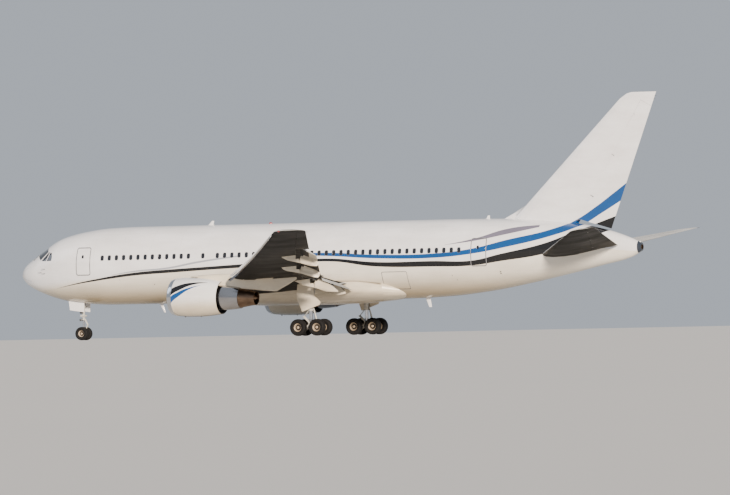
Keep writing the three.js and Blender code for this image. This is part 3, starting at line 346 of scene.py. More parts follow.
# The white upper body and the dark ring at the tail's end come first: the fin takes only the bands after them
BODY_STRIPES = (
    # Painted shade: below this white band the body shows its cream painted shade, and the band's edge fades
    # softly into it at the nose
    Stripe(
        WHITE,
        ((-0.1, 7.9), (24.0, 7.9), (48.6, 7.9)),
        ((-0.1, -1.75), (2.0, -1.66), (3.4, -1.5), (5.43, -1.15), (6.76, -0.96), (8.03, -0.79), (9.29, -0.65),
         (10.53, -0.55), (12.32, -0.46), (15.0, -0.34), (20.0, -0.13), (24.85, 0.06), (28.19, -0.3),
         (32.62, -0.36), (35.43, -0.37), (37.45, -0.05), (40.56, 0.5), (42.4, 1.1), (44.0, 0.6), (48.6, 0.1)),
        nose_soft=0.35,
    ),
    Stripe(
        "#2a323e",
        ((46.98, 7.9), (47.3, 7.9)),
        ((46.98, -5.9), (47.3, -5.9)),
    ),
    Stripe(
        BLACK,
        ((3.35, -1.49), (5.43, -1.10), (6.76, -0.89), (8.03, -0.70), (9.29, -0.55), (10.53, -0.44),
         (12.32, -0.34), (15.0, -0.22), (20.0, 0.0), (24.85, 0.17), (28.19, -0.14), (32.62, -0.16),
         (35.43, -0.19), (37.45, 0.21), (40.56, 0.87), (42.4, 1.55), (44.0, 2.2), (45.45, 2.7)),
        ((3.35, -1.50), (5.43, -1.19), (6.76, -1.03), (8.03, -0.88), (9.29, -0.75), (10.53, -0.66),
         (12.32, -0.58), (15.0, -0.45), (20.0, -0.25), (24.85, -0.04), (28.17, -0.45), (32.59, -0.55),
         (35.39, -0.54), (37.42, -0.29), (40.54, 0.15), (42.4, 0.75), (44.0, 1.3), (45.45, 1.95)),
    ),
    Stripe(
        SILVER,
        ((8.0, -0.63), (9.87, -0.36), (12.44, -0.17), (14.6, 0.18), (18.0, 0.55)),
        ((8.0, -0.66), (9.87, -0.46), (12.44, -0.30), (14.6, 0.04), (18.0, 0.45)),
    ),
    Stripe(
        BLUE,
        ((20.0, 0.50), (24.83, 0.57), (28.19, 0.37), (32.63, 0.36), (35.44, 0.63), (37.93, 1.18),
         (40.92, 1.83), (42.5, 2.47), (44.0, 3.38), (45.1, 4.15), (46.25, 4.98)),
        ((20.0, 0.48), (24.83, 0.33), (28.2, 0.11), (32.63, 0.05), (35.45, 0.27), (37.97, 0.69),
         (41.02, 1.37), (42.6, 1.92), (44.4, 2.92), (45.8, 3.75), (46.25, 4.03)),
    ),
    Stripe(
        MAUVE,
        ((33.3, 0.92), (35.78, 1.37), (37.76, 1.93), (40.08, 2.16)),
        ((33.3, 0.91), (35.81, 1.19), (37.86, 1.57), (40.14, 2.02)),
    ),
)
COWL_DEPTH = (-5.0, 0.0)
COWL_STRIPES = (
    Stripe(
        BLACK,
        ((15.36, -2.0), (15.6, -1.80), (16.4, -1.45), (17.2, -1.32), (18.35, -1.34)),
        ((15.36, -2.75), (15.61, -2.32), (16.5, -1.78), (17.3, -1.48), (18.35, -1.36)),
        COWL_DEPTH,
    ),
    Stripe(
        BLUE,
        ((15.36, -2.9), (15.57, -2.44), (16.35, -1.93), (17.1, -1.66), (18.0, -1.50)),
        ((15.36, -3.25), (15.6, -2.86), (16.5, -2.17), (17.2, -1.76), (18.0, -1.51)),
        COWL_DEPTH,
    ),
    Stripe(
        BLACK,
        ((15.72, -3.30), (15.9, -3.50), (16.3, -3.59), (17.0, -3.62), (18.0, -3.60), (19.11, -3.49)),
        ((15.72, -3.36), (15.9, -3.55), (16.3, -3.635), (17.0, -3.66), (18.0, -3.64), (19.11, -3.52)),
        COWL_DEPTH,
    ),
)

# Gloss polyurethane sprayed over aluminium skin: sharp highlights, faint streaks and thin joints, with a
# cream below the white band that is painted warm light and shade, darkening down to the belly
BODY_PAINT = StripedPaint(
    "gloss_white_topcoat", "#e9e3d7", "#a89f92", 0.22, coat=0.5, soiling=0.3, blend="MULTIPLY",
    stripes=BODY_STRIPES, joint_pitch=1.1, laps=(2.2, -0.95, -2.15),
)
# The same topcoat with its painted belly shade set below reach: white all over, with the body's bands carried
# across
FIN_PAINT = StripedPaint(
    "gloss_fin_topcoat", WHITE, "#a89f92", 0.22, coat=0.5, soiling=0.3, blend="MULTIPLY",
    belly_line=(-9.0, -8.0), stripes=BODY_STRIPES[2:],
)
# The same topcoat on the fan cowls: white on top, with a painted shade making it warmer and darker below
COWL_PAINT = StripedPaint(
    "gloss_cowl_topcoat", "#ececec", "#9c9284", 0.2, coat=0.5, soiling=0.35, blend="MULTIPLY",
    belly="#dcd0ba", belly_line=(-3.2, -2.2), stripes=COWL_STRIPES,
)
# Enamel on fairings and gear doors, its cream a painted warm light on white: half gloss, blotched by spray
# from the wheels
WARM_LIT_CREAM_PAINT = Finish(
    "cream_topcoat", "#e2d7c2", "#8d806c", 0.28, coat=0.35, soiling=0.4, grain=420, blend="MULTIPLY",
)
# Grey enamel on wing skins: pale and satin above, with stains in patches, and near black below, where the
# shade is painted
WING_PAINT = TwoSidedPaint(
    "wing_enamel", "#b9bbbb", "#7d766b", 0.5, specular=0.15, soiling=0.6, grain=500, stretch=(0.25, 1, 1),
    under="#100e0c", blend="MULTIPLY",
)
# The same enamel on the tailplane: paler above, with the same near black painted shade below
TAIL_PAINT = TwoSidedPaint(
    "tail_enamel", "#d5d4d0", "#8d867a", 0.5, specular=0.15, soiling=0.45, grain=450, under="#0e0d0c",
    panel=(0.5, 0.4), blend="MULTIPLY",
)
# Clad aluminium polished bright: mirror like with faint scratches
POLISHED = Finish(
    "polished_aluminium", "#d3d5d8", "#8c8d90", 0.12, metallic=1.0, soiling=0.3, grain=250, ripple=12,
    height=0.05,
)
# Nickel alloy sheet brushed along the flow: bright, with brown streaks of oil
CORE_METAL = Finish(
    "brushed_core_cowl", "#b4b3b5", "#5d5348", 0.2, metallic=1.0, soiling=0.5, grain=350, ripple=8,
    stretch=(0.2, 1, 1),
)
# Perforated sound absorbing lining: satin grey, its holes drawn 3 mm wide so that they show
LINER = Finish(
    "acoustic_liner", "#8f9194", "#55565a", 0.45, metallic=0.3, soiling=0.35, grain=200, ripple=3, height=0.4,
)
# Nickel alloy browned by heat: straw to dark brown, satin
NOZZLE_METAL = Finish(
    "heat_tinted_alloy", "#8a7461", "#3a2c25", 0.3, metallic=1.0, soiling=0.7, grain=160, ripple=8,
)
# Forged and milled titanium: dark silver with a soft sheen
TITANIUM = Finish("fan_titanium", "#5c5d60", "#33343a", 0.3, metallic=1.0, soiling=0.3, grain=120, ripple=6)
# Baked grey enamel on steel forgings: smooth, with grease and dust in patches
GEAR_PAINT = Finish(
    "gear_grey_enamel", "#c9c8c2", "#6d6558", 0.38, coat=0.2, soiling=0.45, grain=90, ripple=10,
)
# Hard chromium ground and honed on the sliding rods: a mirror with an oily film
CHROME = Finish(
    "hard_chrome", "#dcdcde", "#8f8f92", 0.08, metallic=1.0, soiling=0.15, grain=80, ripple=10, height=0.02,
)
# Turned and milled steel: satin grey, stained by oil
STEEL = Finish("machined_steel", "#8f8f90", "#4a443d", 0.32, metallic=1.0, soiling=0.4, grain=60, ripple=5)
# Beige enamel on forged aluminium wheels: half matt, browned by brake dust
WHEEL_PAINT = Finish(
    "beige_wheel_enamel", "#b7a690", "#3b3025", 0.4, metallic=0.1, coat=0.1, soiling=0.5, grain=70, ripple=8,
)
# Forged aluminium web, painted near black as the shade in the wheel's recess, with darker patches
WHEEL_WEB_SHADE = Finish(
    "brake_dusted_web", "#2a2420", "#110e0c", 0.6, metallic=0.3, soiling=0.6, grain=50, ripple=6,
)
# Moulded natural rubber filled with carbon black: matt with brake dust
TYRE_RUBBER = Finish(
    "tyre_rubber", "#0c0c0e", "#26221e", 0.78, specular=0.3, soiling=0.4, grain=50, ripple=4, height=0.3,
)
# Polysulphide sealant and black rubber: dark grey and matt
SEAL = Finish("black_sealant", "#2a2b2e", "#4a4845", 0.6, soiling=0.3, grain=60, ripple=6)
# Stretched acrylic and laminated glass over a dark cabin: near black with sharp reflections
PANE = Finish(
    "tinted_pane", "#14161c", "#1f262c", 0.05, coat=1.0, soiling=0.3, grain=90, ripple=60, height=0.02,
)
# Pressed lamp glass over a reflector: bright and wet looking, in three colours
LAMP = Finish(
    "lamp_glass", "#e9eef2", "#b7bdc2", 0.06, coat=1.0, soiling=0.15, grain=30, ripple=20, height=0.05,
)
RED_LAMP = Finish("red_lamp_glass", "#a5171c", "#5d0f12", 0.08, coat=1.0, soiling=0.2, grain=30, ripple=20)
GREEN_LAMP = Finish(
    "green_lamp_glass", "#14773c", "#0d4424", 0.08, coat=1.0, soiling=0.2, grain=30, ripple=20,
)
# Braid over a rubber hose, its strands drawn 3 mm wide: dark and dull, with dust in it
HOSE = Finish("braided_hose", "#33322f", "#5c564b", 0.55, soiling=0.3, grain=20, ripple=3)
# Bare aluminium edging, dulled and greyed where shoes and steps rub it
SURROUND = Finish("worn_door_edge", "#8f9096", "#5f5d58", 0.42, metallic=0.3, soiling=0.5, grain=90, ripple=8)
# Anodised aluminium frames: mid grey and satin
WINDOW_TRIM = Finish("window_trim", "#77767c", "#55534f", 0.4, metallic=0.3, soiling=0.4, grain=60, ripple=8)
# Matt emulsion on the studio's floor: even, with hardly a mark
STUDIO_FLOOR = Finish(
    "studio_floor", "#cdcbc7", "#c6c4c0", 0.9, soiling=0.1, grain=4000, ripple=200, height=0.0,
    stretch=(1, 1, 1),
)
# Sprayed primer on bay walls: grey green, flat and dusty; laid flat on the skin, it is also the painted shade
# of the open bay's inside
WELL_SHADE = Finish("primed_gear_bay", "#5f6258", "#2f2d28", 0.6, soiling=0.5, grain=120, ripple=20)


# Mesh tools


def turned(bm: BMesh, profile: list[Row], place: Matrix, steps: int = 64) -> None:
    """Spins a profile about its local X axis.

    Args:
        bm: The mesh to add to.
        profile: Distance along the axis and radius of each point.
        place: Where the axis goes.
        steps: How many sections the spin has.
    """
    old = set(bm.verts)
    points = [bm.verts.new((along, 0, radius)) for along, radius in profile]
    edges = [bm.edges.new(pair) for pair in zip(points, points[1:])]
    bmesh.ops.spin(
        bm, geom=points + edges, cent=(0, 0, 0), axis=(1, 0, 0), steps=steps, angle=TAU, use_merge=True,
    )
    bmesh.ops.remove_doubles(bm, verts=[v for v in bm.verts if v not in old], dist=1e-6)
    bmesh.ops.transform(bm, matrix=place, verts=[v for v in bm.verts if v not in old])


def bar(bm: BMesh, start: Vector | Row, end: Vector | Row, radius: float, tip: float | None = None,
        sides: int = 20) -> None:
    """Adds a round bar between two points, or a cone if the tip has a radius of its own."""
    start, end = Vector(start), Vector(end)
    along = end - start
    place = Matrix.Translation((start + end) / 2) @ along.to_track_quat("Z", "Y").to_matrix().to_4x4()
    bmesh.ops.create_cone(
        bm, cap_ends=True, segments=sides, radius1=radius, radius2=radius if tip is None else tip,
        depth=along.length, matrix=place,
    )


def round_edges(bm: BMesh, verts: list[BMVert], radius: float) -> None:
    """Rounds every edge that meets some vertices."""
    edges = list({e for v in verts for e in v.link_edges})
    bmesh.ops.bevel(
        bm, geom=edges, offset=radius, segments=2, profile=0.5, affect="EDGES", material=-1,
        clamp_overlap=True,
    )


def block(bm: BMesh, low: Row, high: Row, radius: float) -> None:
    """Adds a box between two corners with its edges rounded."""
    size, centre = Vector(high) - Vector(low), (Vector(high) + Vector(low)) / 2
    place = Matrix.Translation(centre) @ Matrix.Diagonal((*size, 1))
    round_edges(bm, bmesh.ops.create_cube(bm, size=1, matrix=place)["verts"], radius)


def pushed(bm: BMesh, faces: list[BMFace], push: Row) -> list[BMVert]:
    """Gives faces a thickness along a vector, and gives the vertices of the new side."""
    grown = bmesh.ops.extrude_face_region(bm, geom=faces)["geom"]
    made = [g for g in grown if isinstance(g, BMVert)]
    bmesh.ops.translate(bm, vec=push, verts=made)
    return made


def plate(bm: BMesh, outline: list[Row], low: float, high: float, radius: float = 0.0) -> list[BMVert]:
    """Pushes an outline seen from the side across the aircraft and rounds its edges.

    Args:
        bm: The mesh to add to.
        outline: Its x and z, in order round the edge.
        low: The lowest y.
        high: The highest y.
        radius: Radius of its edges.

    Returns:
        The plate's vertices.
    """
    old = set(bm.verts)
    face = bm.faces.new([bm.verts.new((x, low, z)) for x, z in outline])
    pushed(bm, [face], (0, high - low, 0))
    made = [v for v in bm.verts if v not in old]
    bmesh.ops.recalc_face_normals(bm, faces=list({f for v in made for f in v.link_faces}))
    if radius:
        round_edges(bm, made, radius)
    return [v for v in bm.verts if v not in old]


def band(bm: BMesh, outline: list[Row], y: float, width: float) -> list[BMFace]:
    """Draws the flat band just inside an outline seen from the side.

    Args:
        bm: The mesh to add to.
        outline: The band's outer edge, as x and z.
        y: Where it lies.
        width: Its width.

    Returns:
        The band's faces.
    """
    face = bm.faces.new([bm.verts.new((x, y, z)) for x, z in outline])
    # A new face has no normal yet, and without one the inset moves nothing
    face.normal_update()
    ring = bmesh.ops.inset_region(bm, faces=[face], thickness=width, use_boundary=True, use_even_offset=True)
    bmesh.ops.delete(bm, geom=[face], context="FACES_ONLY")
    return ring["faces"]


def drawn_skin(bm: BMesh, sides: int, places: list[Matrix], foot: bool = True) -> None:
    """Pushes a circle through a row of places and closes its end.

    Args:
        bm: The mesh to add to.
        sides: How many sides the circle has.
        places: The transform from a circle of radius 1 to each station.
        foot: True if the first station is closed too.
    """
    circle = bmesh.ops.create_circle(bm, cap_ends=False, segments=sides, radius=1)["verts"]
    bmesh.ops.transform(bm, matrix=places[0], verts=circle)
    ring = list({e for v in circle for e in v.link_edges})
    if foot:
        bmesh.ops.edgeloop_fill(bm, edges=ring)
    for before, after in zip(places, places[1:]):
        made = bmesh.ops.extrude_edge_only(bm, edges=ring)["geom"]
        verts = {g for g in made if isinstance(g, BMVert)}
        ring = [g for g in made if isinstance(g, BMEdge) and set(g.verts) <= verts]
        bmesh.ops.transform(bm, matrix=after @ before.inverted(), verts=list(verts))
    bmesh.ops.edgeloop_fill(bm, edges=ring)
    bmesh.ops.recalc_face_normals(bm, faces=bm.faces)


def new_object(bm: BMesh, name: str) -> Object:
    """Makes an object at the origin from a mesh and frees the mesh."""
    mesh = bpy.data.meshes.new(name)
    bm.to_mesh(mesh)
    bm.free()
    return linked(name, mesh)


def linked(name: str, data: bpy.types.ID) -> Object:
    """Makes an object from a mesh, curve, lamp or lens and puts it in the scene."""
    made = bpy.data.objects.new(name, data)
    bpy.context.scene.collection.objects.link(made)
    return made


def smooth(mesh: Mesh, angle: float) -> None:
    """Shades a mesh smooth, with every edge sharper than the angle in degrees left crisp."""
    mesh.polygons.foreach_set("use_smooth", [True] * len(mesh.polygons))
    mesh.set_sharp_from_angle(angle=math.radians(angle))


def coated(piece: Object, *finishes: Finish) -> None:
    """Gives a piece its finishes, in the place of any that it had."""
    piece.data.materials.clear()
    for finish in finishes:
        piece.data.materials.append(finish.material())


def finished(bm: BMesh, name: str, body: str, finish: Finish, angle: float = 35, real_size: bool = True,
             replaces: tuple[str, ...] = ()) -> Object:
    """Turns a mesh into a piece that rides on a body.

    Args:
        bm: The mesh, freed here.
        name: The piece's name.
        body: The CAD body that carries it.
        finish: Its surface.
        angle: Edges sharper than this stay crisp.
        real_size: True if the mesh is in the real aircraft's metres.
        replaces: CAD nodes that the piece stands for.

    Returns:
        The piece.
    """
    if real_size:
        bmesh.ops.transform(bm, matrix=Model.matrix(), verts=bm.verts)
    bmesh.ops.recalc_face_normals(bm, faces=bm.faces)
    piece = new_object(bm, name)
    smooth(piece.data, angle)
    coated(piece, finish)
    return carried(piece, body, replaces)


def carried(piece: Object, body: str, replaces: tuple[str, ...] = ()) -> Object:
    """Puts a piece on its body, hides what it stands for and reports it."""
    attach(piece, body)
    if replaces:
        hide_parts(*replaces)
    LOG.info("%s on %s", piece.name, body)
    return piece


def hose(name: str, points: list[Row], radius: float, body: str) -> Object:
    """Lays a brake hose through points in the real aircraft's metres."""
    curve = bpy.data.curves.new(name, "CURVE")
    curve.dimensions = "3D"
    curve.bevel_depth = radius * Model.scale
    curve.bevel_resolution = 3
    curve.use_fill_caps = True
    spline = curve.splines.new("NURBS")
    spline.points.add(len(points) - 1)
    for point, place in zip(spline.points, points):
        point.co = (*Model.at(*place), 1)
    spline.use_endpoint_u = True
    spline.order_u = 3
    spline.resolution_u = 4
    made = linked(name, curve)
    coated(made, HOSE)
    return carried(made, body)


def modified(piece: Object, kind: str, **settings: object) -> None:
    """Applies a modifier to a piece at once."""
    modifier = piece.modifiers.new(kind.title(), kind)
    for key, value in settings.items():
        setattr(modifier, key, value)
    mesh = bpy.data.meshes.new_from_object(piece.evaluated_get(bpy.context.evaluated_depsgraph_get()))
    piece.modifiers.clear()
    piece.data = mesh


def cut_out(piece: Object, tool: Object) -> None:
    """Cuts the shape of a tool out of a piece and removes the tool."""
    modified(piece, "BOOLEAN", operation="DIFFERENCE", object=tool, solver="MANIFOLD")
    bpy.data.objects.remove(tool)


def eased(table: tuple[Row, ...], column: int, at: float) -> float:
    """Reads a column of a table at a place by a smooth curve that never overshoots the rows.

    Args:
        table: Rows in order of their first column.
        column: The column to read.
        at: The place in the first column.

    Returns:
        The value there.
    """
    keys = [row[0] for row in table]
    values = [row[column] for row in table]
    at = min(max(at, keys[0]), keys[-1])
    i = next(k for k in range(len(keys) - 1) if at <= keys[k + 1])
    slopes = [(values[k + 1] - values[k]) / (keys[k + 1] - keys[k]) for k in range(len(keys) - 1)]

    def lean(k: int) -> float:
        """Gives the curve's slope at row k."""
        if k in (0, len(keys) - 1):
            return slopes[min(k, len(slopes) - 1)]
        a, b = slopes[k - 1], slopes[k]
        return 0.0 if a * b <= 0 else 2 * a * b / (a + b)

    span = keys[i + 1] - keys[i]
    t = (at - keys[i]) / span
    return (
        (2 * t**3 - 3 * t**2 + 1) * values[i] + (t**3 - 2 * t**2 + t) * span * lean(i)
        + (3 * t**2 - 2 * t**3) * values[i + 1] + (t**3 - t**2) * span * lean(i + 1)
    )


# Fuselage

# Square root of x, then top, bottom and half width, so that the round nose draws smoothly
BODY_ROWS = tuple((math.sqrt(x), top, bottom, half) for x, top, bottom, half in (
    (0.0, -0.46, -0.54, 0.04), (0.15, -0.06, -0.88, 0.41), (0.5, 0.29, -1.22, 0.80),
    (1.2, 0.76, -1.62, 1.26), (1.7, 1.10, -1.83, 1.48), (2.2, 1.42, -2.02, 1.66), (2.8, 1.79, -2.21, 1.86),
    (3.4, 2.05, -2.36, 2.02), (5.0, 2.42, -2.58, 2.33), (7.0, 2.65, -2.70, 2.49),
    (9.5, 2.705, -2.705, 2.515), (30.0, 2.705, -2.705, 2.515), (33.0, 2.705, -2.60, 2.49),
    (36.0, 2.68, -2.30, 2.32), (39.0, 2.59, -1.80, 1.95), (42.0, 2.30, -1.20, 1.42),
    (44.5, 1.80, -0.65, 0.92), (46.3, 1.21, -0.25, 0.52), (47.24, 0.79, 0.22, 0.29),
))


@dataclass(frozen=True)
class Opening:
    """A rounded opening in the skin as seen from the side: its middle, half sizes and corner radius."""

    x: float
    z: float
    half_x: float
    half_z: float
    corner: float

    def outline(self, grow: float = 0.0, corner: float | None = None, steps: int = 4) -> list[Row]:
        """Gives the outline.

        Args:
            grow: How far it is moved out.
            corner: Another corner radius, if it isn't the opening's own.
            steps: How many edges each corner has.

        Returns:
            The outline's x and z.
        """
        radius = self.corner if corner is None else corner
        points = []
        for turn, (a, b) in enumerate(((1, 1), (-1, 1), (-1, -1), (1, -1))):
            for i in range(steps + 1):
                angle = (turn + i / steps) * math.pi / 2
                points.append((
                    self.x + a * (self.half_x + grow - radius) + radius * math.cos(angle),
                    self.z + b * (self.half_z + grow - radius) + radius * math.sin(angle),
                ))
        return points


@dataclass
class Fuselage:
    """The pressure cabin's skin with its pockets for panes and doors, the radome and the tail cone."""

    sides: int = 96
    radome_end: float = 1.2
    cone_start: float = 45.7
    end: float = 47.24
    joint: float = 0.004
    core: tuple[float, float] = (0.3, 44.0)
    glass: tuple[float, float] = (0.75, 36.6)
    pocket: float = 0.03
    glass_depth: float = 0.014
    gap: float = 0.022
    window_z: float = 0.56
    window_first: float = 7.315
    window_pitch: float = 0.5555
    window_bays: int = 50
    blank_bays: tuple[int, ...] = (13, 15, 24)
    doors: tuple[Opening, ...] = (
        Opening(5.80, 0.35, 0.535, 0.94, 0.12), Opening(35.96, 0.38, 0.535, 0.94, 0.12),
    )
    exits: tuple[Opening, ...] = (
        Opening(20.09, 0.60, 0.27, 0.5, 0.08), Opening(21.20, 0.60, 0.27, 0.5, 0.08),
    )
    holds: tuple[Opening, ...] = (
        Opening(9.2, -1.45, 1.3, 0.62, 0.1), Opening(29.6, -1.45, 0.95, 0.6, 0.1),
    )
    panes: tuple[tuple[Row, ...], ...] = (
        ((1.45, 1.00), (2.02, 0.50), (2.63, 1.07), (2.46, 1.30), (2.24, 1.50)),
        ((2.13, 0.45), (2.57, 0.44), (2.81, 1.04), (2.72, 1.06)),
        ((2.64, 0.44), (3.07, 0.45), (3.10, 0.72), (3.01, 0.99), (2.88, 1.05)),
    )

    def section(self, x: float) -> Row:
        """Gives the skin's top, bottom and half width at x."""
        return tuple(eased(BODY_ROWS, column, math.sqrt(x)) for column in (1, 2, 3))

    def ring(self, x: float, grow: float = 0.0) -> Matrix:
        """Gives the transform from a circle of radius 1 to the skin's ring at x, moved out by grow."""
        top, bottom, half = self.section(x)
        tall, wide = (top - bottom) / 2 + grow, half + grow
        return Matrix(((0, 0, 1, x), (wide, 0, 0, 0), (0, tall, 0, (top + bottom) / 2), (0, 0, 0, 1)))

    def stations(self, start: float, end: float) -> list[float]:
        """Gives the places of the rings between two ends, close together where the skin curves most."""
        rows = [0.004, 0.02, 0.05, 0.1, 0.17, 0.26, 0.37, 0.5, 0.65, 0.82, 1.0]
        rows += [1.2 + 0.2 * i for i in range(20)] + [5.3 + 0.5 * i for i in range(10)]
        rows += [10.5 + 1.5 * i for i in range(14)] + [31.0 + 0.75 * i for i in range(21)]
        rows += [46.6, 46.9, 47.1]
        return [start] + [x for x in rows if start + 0.01 < x < end - 0.01] + [end]

    def body(self, start: float, end: float, grow: float = 0.0) -> BMesh:
        """Draws the closed skin between two places."""
        bm = bmesh.new()
        drawn_skin(bm, self.sides, [self.ring(max(x, 0.001), grow) for x in self.stations(start, end)])
        return bm

    def off_skin(self, point: Vector) -> float:
        """Gives how far outside the skin a place is, as a share: 0 on it."""
        top, bottom, half = self.section(max(point.x, 0.0005))
        return (point.y / half) ** 2 + ((point.z - (top + bottom) / 2) * 2 / (top - bottom)) ** 2 - 1

    def normal(self, point: Vector) -> Vector:
        """Gives the true skin's normal at a place."""
        step = 0.002
        axes = (Vector((step, 0, 0)), Vector((0, step, 0)), Vector((0, 0, step)))
        return Vector([self.off_skin(point + a) - self.off_skin(point - a) for a in axes]).normalized()

    def skin_y(self, x: float, z: float) -> float:
        """Gives the skin's half width at a place seen from the side."""
        top, bottom, half = self.section(x)
        share = (z - (top + bottom) / 2) * 2 / (top - bottom)
        return half * math.sqrt(max(0.0, 1 - share * share))

    def on_skin(self, side: Side, x: float, z: float) -> Vector:
        """Gives the place on the skin of one side at a place seen from the side."""
        return Vector((x, side.value * self.skin_y(x, z), z))

    def windows(self) -> list[Opening]:
        """Gives the cabin windows, without the blank bays."""
        return [
            Opening(self.window_first + bay * self.window_pitch, self.window_z, 0.135, 0.195, 0.11)
            for bay in range(self.window_bays) if bay not in self.blank_bays
        ]

    def hatches(self, side: Side) -> tuple[Opening, ...]:
        """Gives the exits and hold doors of a side: the forward hold opens to starboard only."""
        return self.exits + (self.holds if side is Side.RIGHT else self.holds[1:])

    def cutters(self) -> BMesh:
        """Draws what is cut out of the skin: windows, panes and the gaps round doors."""
        bm = bmesh.new()
        for side in Side:
            near, far = sorted((side.value * 0.03, side.value * 4.0))
            spy_holes = [Opening(door.x - 0.05, door.z + 0.33, 0.09, 0.12, 0.06) for door in self.doors]
            for opening in self.windows() + spy_holes:
                plate(bm, opening.outline(), near, far)
            for outline in self.panes:
                plate(bm, list(outline), near, far)
            for door in self.doors + self.hatches(side):
                pushed(bm, band(bm, door.outline(), near, self.gap), (0, far - near, 0))
        bmesh.ops.recalc_face_normals(bm, faces=bm.faces)
        return bm

    def cut(self, piece: Object) -> None:
        """Cuts the pockets into a piece of skin, down to a core that is a pocket's depth smaller."""
        tool = new_object(self.cutters(), "pockets")
        cut_out(tool, new_object(self.body(*self.core, -self.pocket), "cabin_core"))
        cut_out(piece, tool)
        self.paint(piece)

    def paint(self, piece: Object) -> None:
        """Gives a skin the true skin's normals, leaves its pockets' walls crisp and paints it."""
        mesh = piece.data
        true = [self.normal(v.co) for v in mesh.vertices]
        normals = []
        for face in mesh.polygons:
            outside = face.normal.dot(self.normal(face.center)) > 0.94
            normals += [true[v] if outside and abs(self.off_skin(mesh.vertices[v].co)) < 0.02 else face.normal
                        for v in face.vertices]
        mesh.polygons.foreach_set("use_smooth", [True] * len(mesh.polygons))
        mesh.normals_split_custom_set(normals)
        mesh.transform(Model.matrix())
        coated(piece, BODY_PAINT)

    def build(self) -> None:
        """Builds every piece of the fuselage."""
        skin = new_object(self.body(self.radome_end + self.joint, self.cone_start - self.joint), "cabin_skin")
        self.cut(skin)
        doors = tuple(f"door_{end}_{side.word}" for end in ("front", "rear") for side in Side)
        carried(skin, "airframe", ("fuselage", *doors))
        nose = new_object(self.body(0.0, self.radome_end), "radome_shell")
        self.cut(nose)
        carried(nose, "airframe", ("radome",))
        glass = self.body(*self.glass, -self.glass_depth)
        finished(glass, "cabin_glass", "airframe", PANE, 60, replaces=("windscreen",))
        self.exhaust()
        self.strips()
        self.wipers()
        self.frames()

    def seal(self, bm: BMesh, side: Side, outline: list[Row], width: float, lift: Row) -> None:
        """Adds a band that follows the skin just inside an outline.

        Args:
            bm: The mesh to add to.
            side: The side that the opening is on.
            outline: The band's outer edge, as x and z.
            width: Width of the band.
            lift: Height over the skin of the band's face and of its back.
        """
        ring = band(bm, outline, 0, width)
        # Long straight stretches are divided, so that they bend round the skin
        long_edges = [e for e in {e for f in ring for e in f.edges} if e.calc_length() > 0.3]
        if long_edges:
            bmesh.ops.subdivide_edges(bm, edges=long_edges, cuts=5, use_grid_fill=True)
            ring += [f for e in long_edges if e.is_valid for v in e.verts for f in v.link_faces]
        faces = self.island(ring)
        back = set(pushed(bm, faces, (0, 0, 0)))
        for vert in {v for f in self.island(faces) for v in f.verts}:
            vert.co.y = side.value * (self.skin_y(vert.co.x, vert.co.z) + lift[vert in back])

    @staticmethod
    def island(faces: list[BMFace]) -> list[BMFace]:
        """Gives all the faces that hang together with some faces."""
        found = {f for f in faces if f.is_valid}
        queue = list(found)
        while queue:
            for edge in queue.pop().edges:
                for near in edge.link_faces:
                    if near not in found:
                        found.add(near)
                        queue.append(near)
        return list(found)

    def frames(self) -> None:
        """Adds the worn metal edges round doors and exits and the frames in the windows."""
        edges, frames, seals = bmesh.new(), bmesh.new(), bmesh.new()
        for side in Side:
            for door in self.doors:
                self.seal(edges, side, door.outline(0.045, 0.16), 0.044, (0.005, -0.02))
            for hatch in self.hatches(side):
                self.seal(edges, side, hatch.outline(0.02, 0.11), 0.02, (0.003, -0.02))
            for window in self.windows():
                self.seal(frames, side, window.outline(0.001), 0.016, (-0.005, -0.02))
            for outline in self.panes:
                self.seal(seals, side, list(outline), 0.018, (-0.003, -0.02))
        finished(seals, "pane_seals", "airframe", SEAL, 40)
        finished(edges, "door_surrounds", "airframe", SURROUND, 40)
        finished(frames, "window_frames", "airframe", WINDOW_TRIM, 40)

    def exhaust(self) -> None:
        """Builds the tail cone with the auxiliary power unit's exhaust pipe in its end."""
        height = 0.5
        hole = bmesh.new()
        bar(hole, (46.9, 0, height), (47.5, 0, height), 0.16, sides=48)
        cone = new_object(self.body(self.cone_start, self.end), "tail_cone_shell")
        cut_out(cone, new_object(hole, "exhaust_hole"))
        self.paint(cone)
        carried(cone, "airframe", ("tail_cone",))
        pipe = bmesh.new()
        profile = [
            (46.92, 0.0), (46.92, 0.13), (47.20, 0.148), (47.27, 0.15), (47.275, 0.165), (47.26, 0.18),
            (47.22, 0.16),
        ]
        turned(pipe, profile, Matrix.Translation((0, 0, height)), 48)
        finished(pipe, "tail_exhaust", "airframe", NOZZLE_METAL)

    def strips(self) -> None:
        """Lays the lightning strips on the radome."""
        bm = bmesh.new()
        for angle in (25, 65, 115, 155, 205, 245, 295, 335):
            turn = Vector((math.cos(math.radians(angle)), math.sin(math.radians(angle)), 0))
            points = [self.ring(x, 0.003) @ turn for x in (0.35, 0.6, 0.9, 1.15)]
            for a, b in zip(points, points[1:]):
                bar(bm, a, b, 0.006, sides=6)
        finished(bm, "radome_strips", "airframe", POLISHED)

    def wipers(self) -> None:
        """Builds the wipers, parked under the windscreen."""
        bm = bmesh.new()
        for side in Side:
            feet = [self.on_skin(side, x, z) for x, z in ((1.28, 0.50), (1.62, 0.86))]
            low, high = (foot + self.normal(foot) * 0.03 for foot in feet)
            bar(bm, low, high, 0.012, 0.008, 8)
            bar(bm, low, low - self.normal(low) * 0.05, 0.02, sides=10)
        finished(bm, "wipers", "airframe", SEAL)


# Wings, tail and the parts whose solids already have their shape


def wing_height(y: float, bend: float = 1.32) -> float:
    """Gives the height of the wing's middle at a distance from the centre line, bent up to its tip."""
    out = y - 2.5
    return -1.58 + 0.1051 * out + bend * (out / 21.285) ** 2


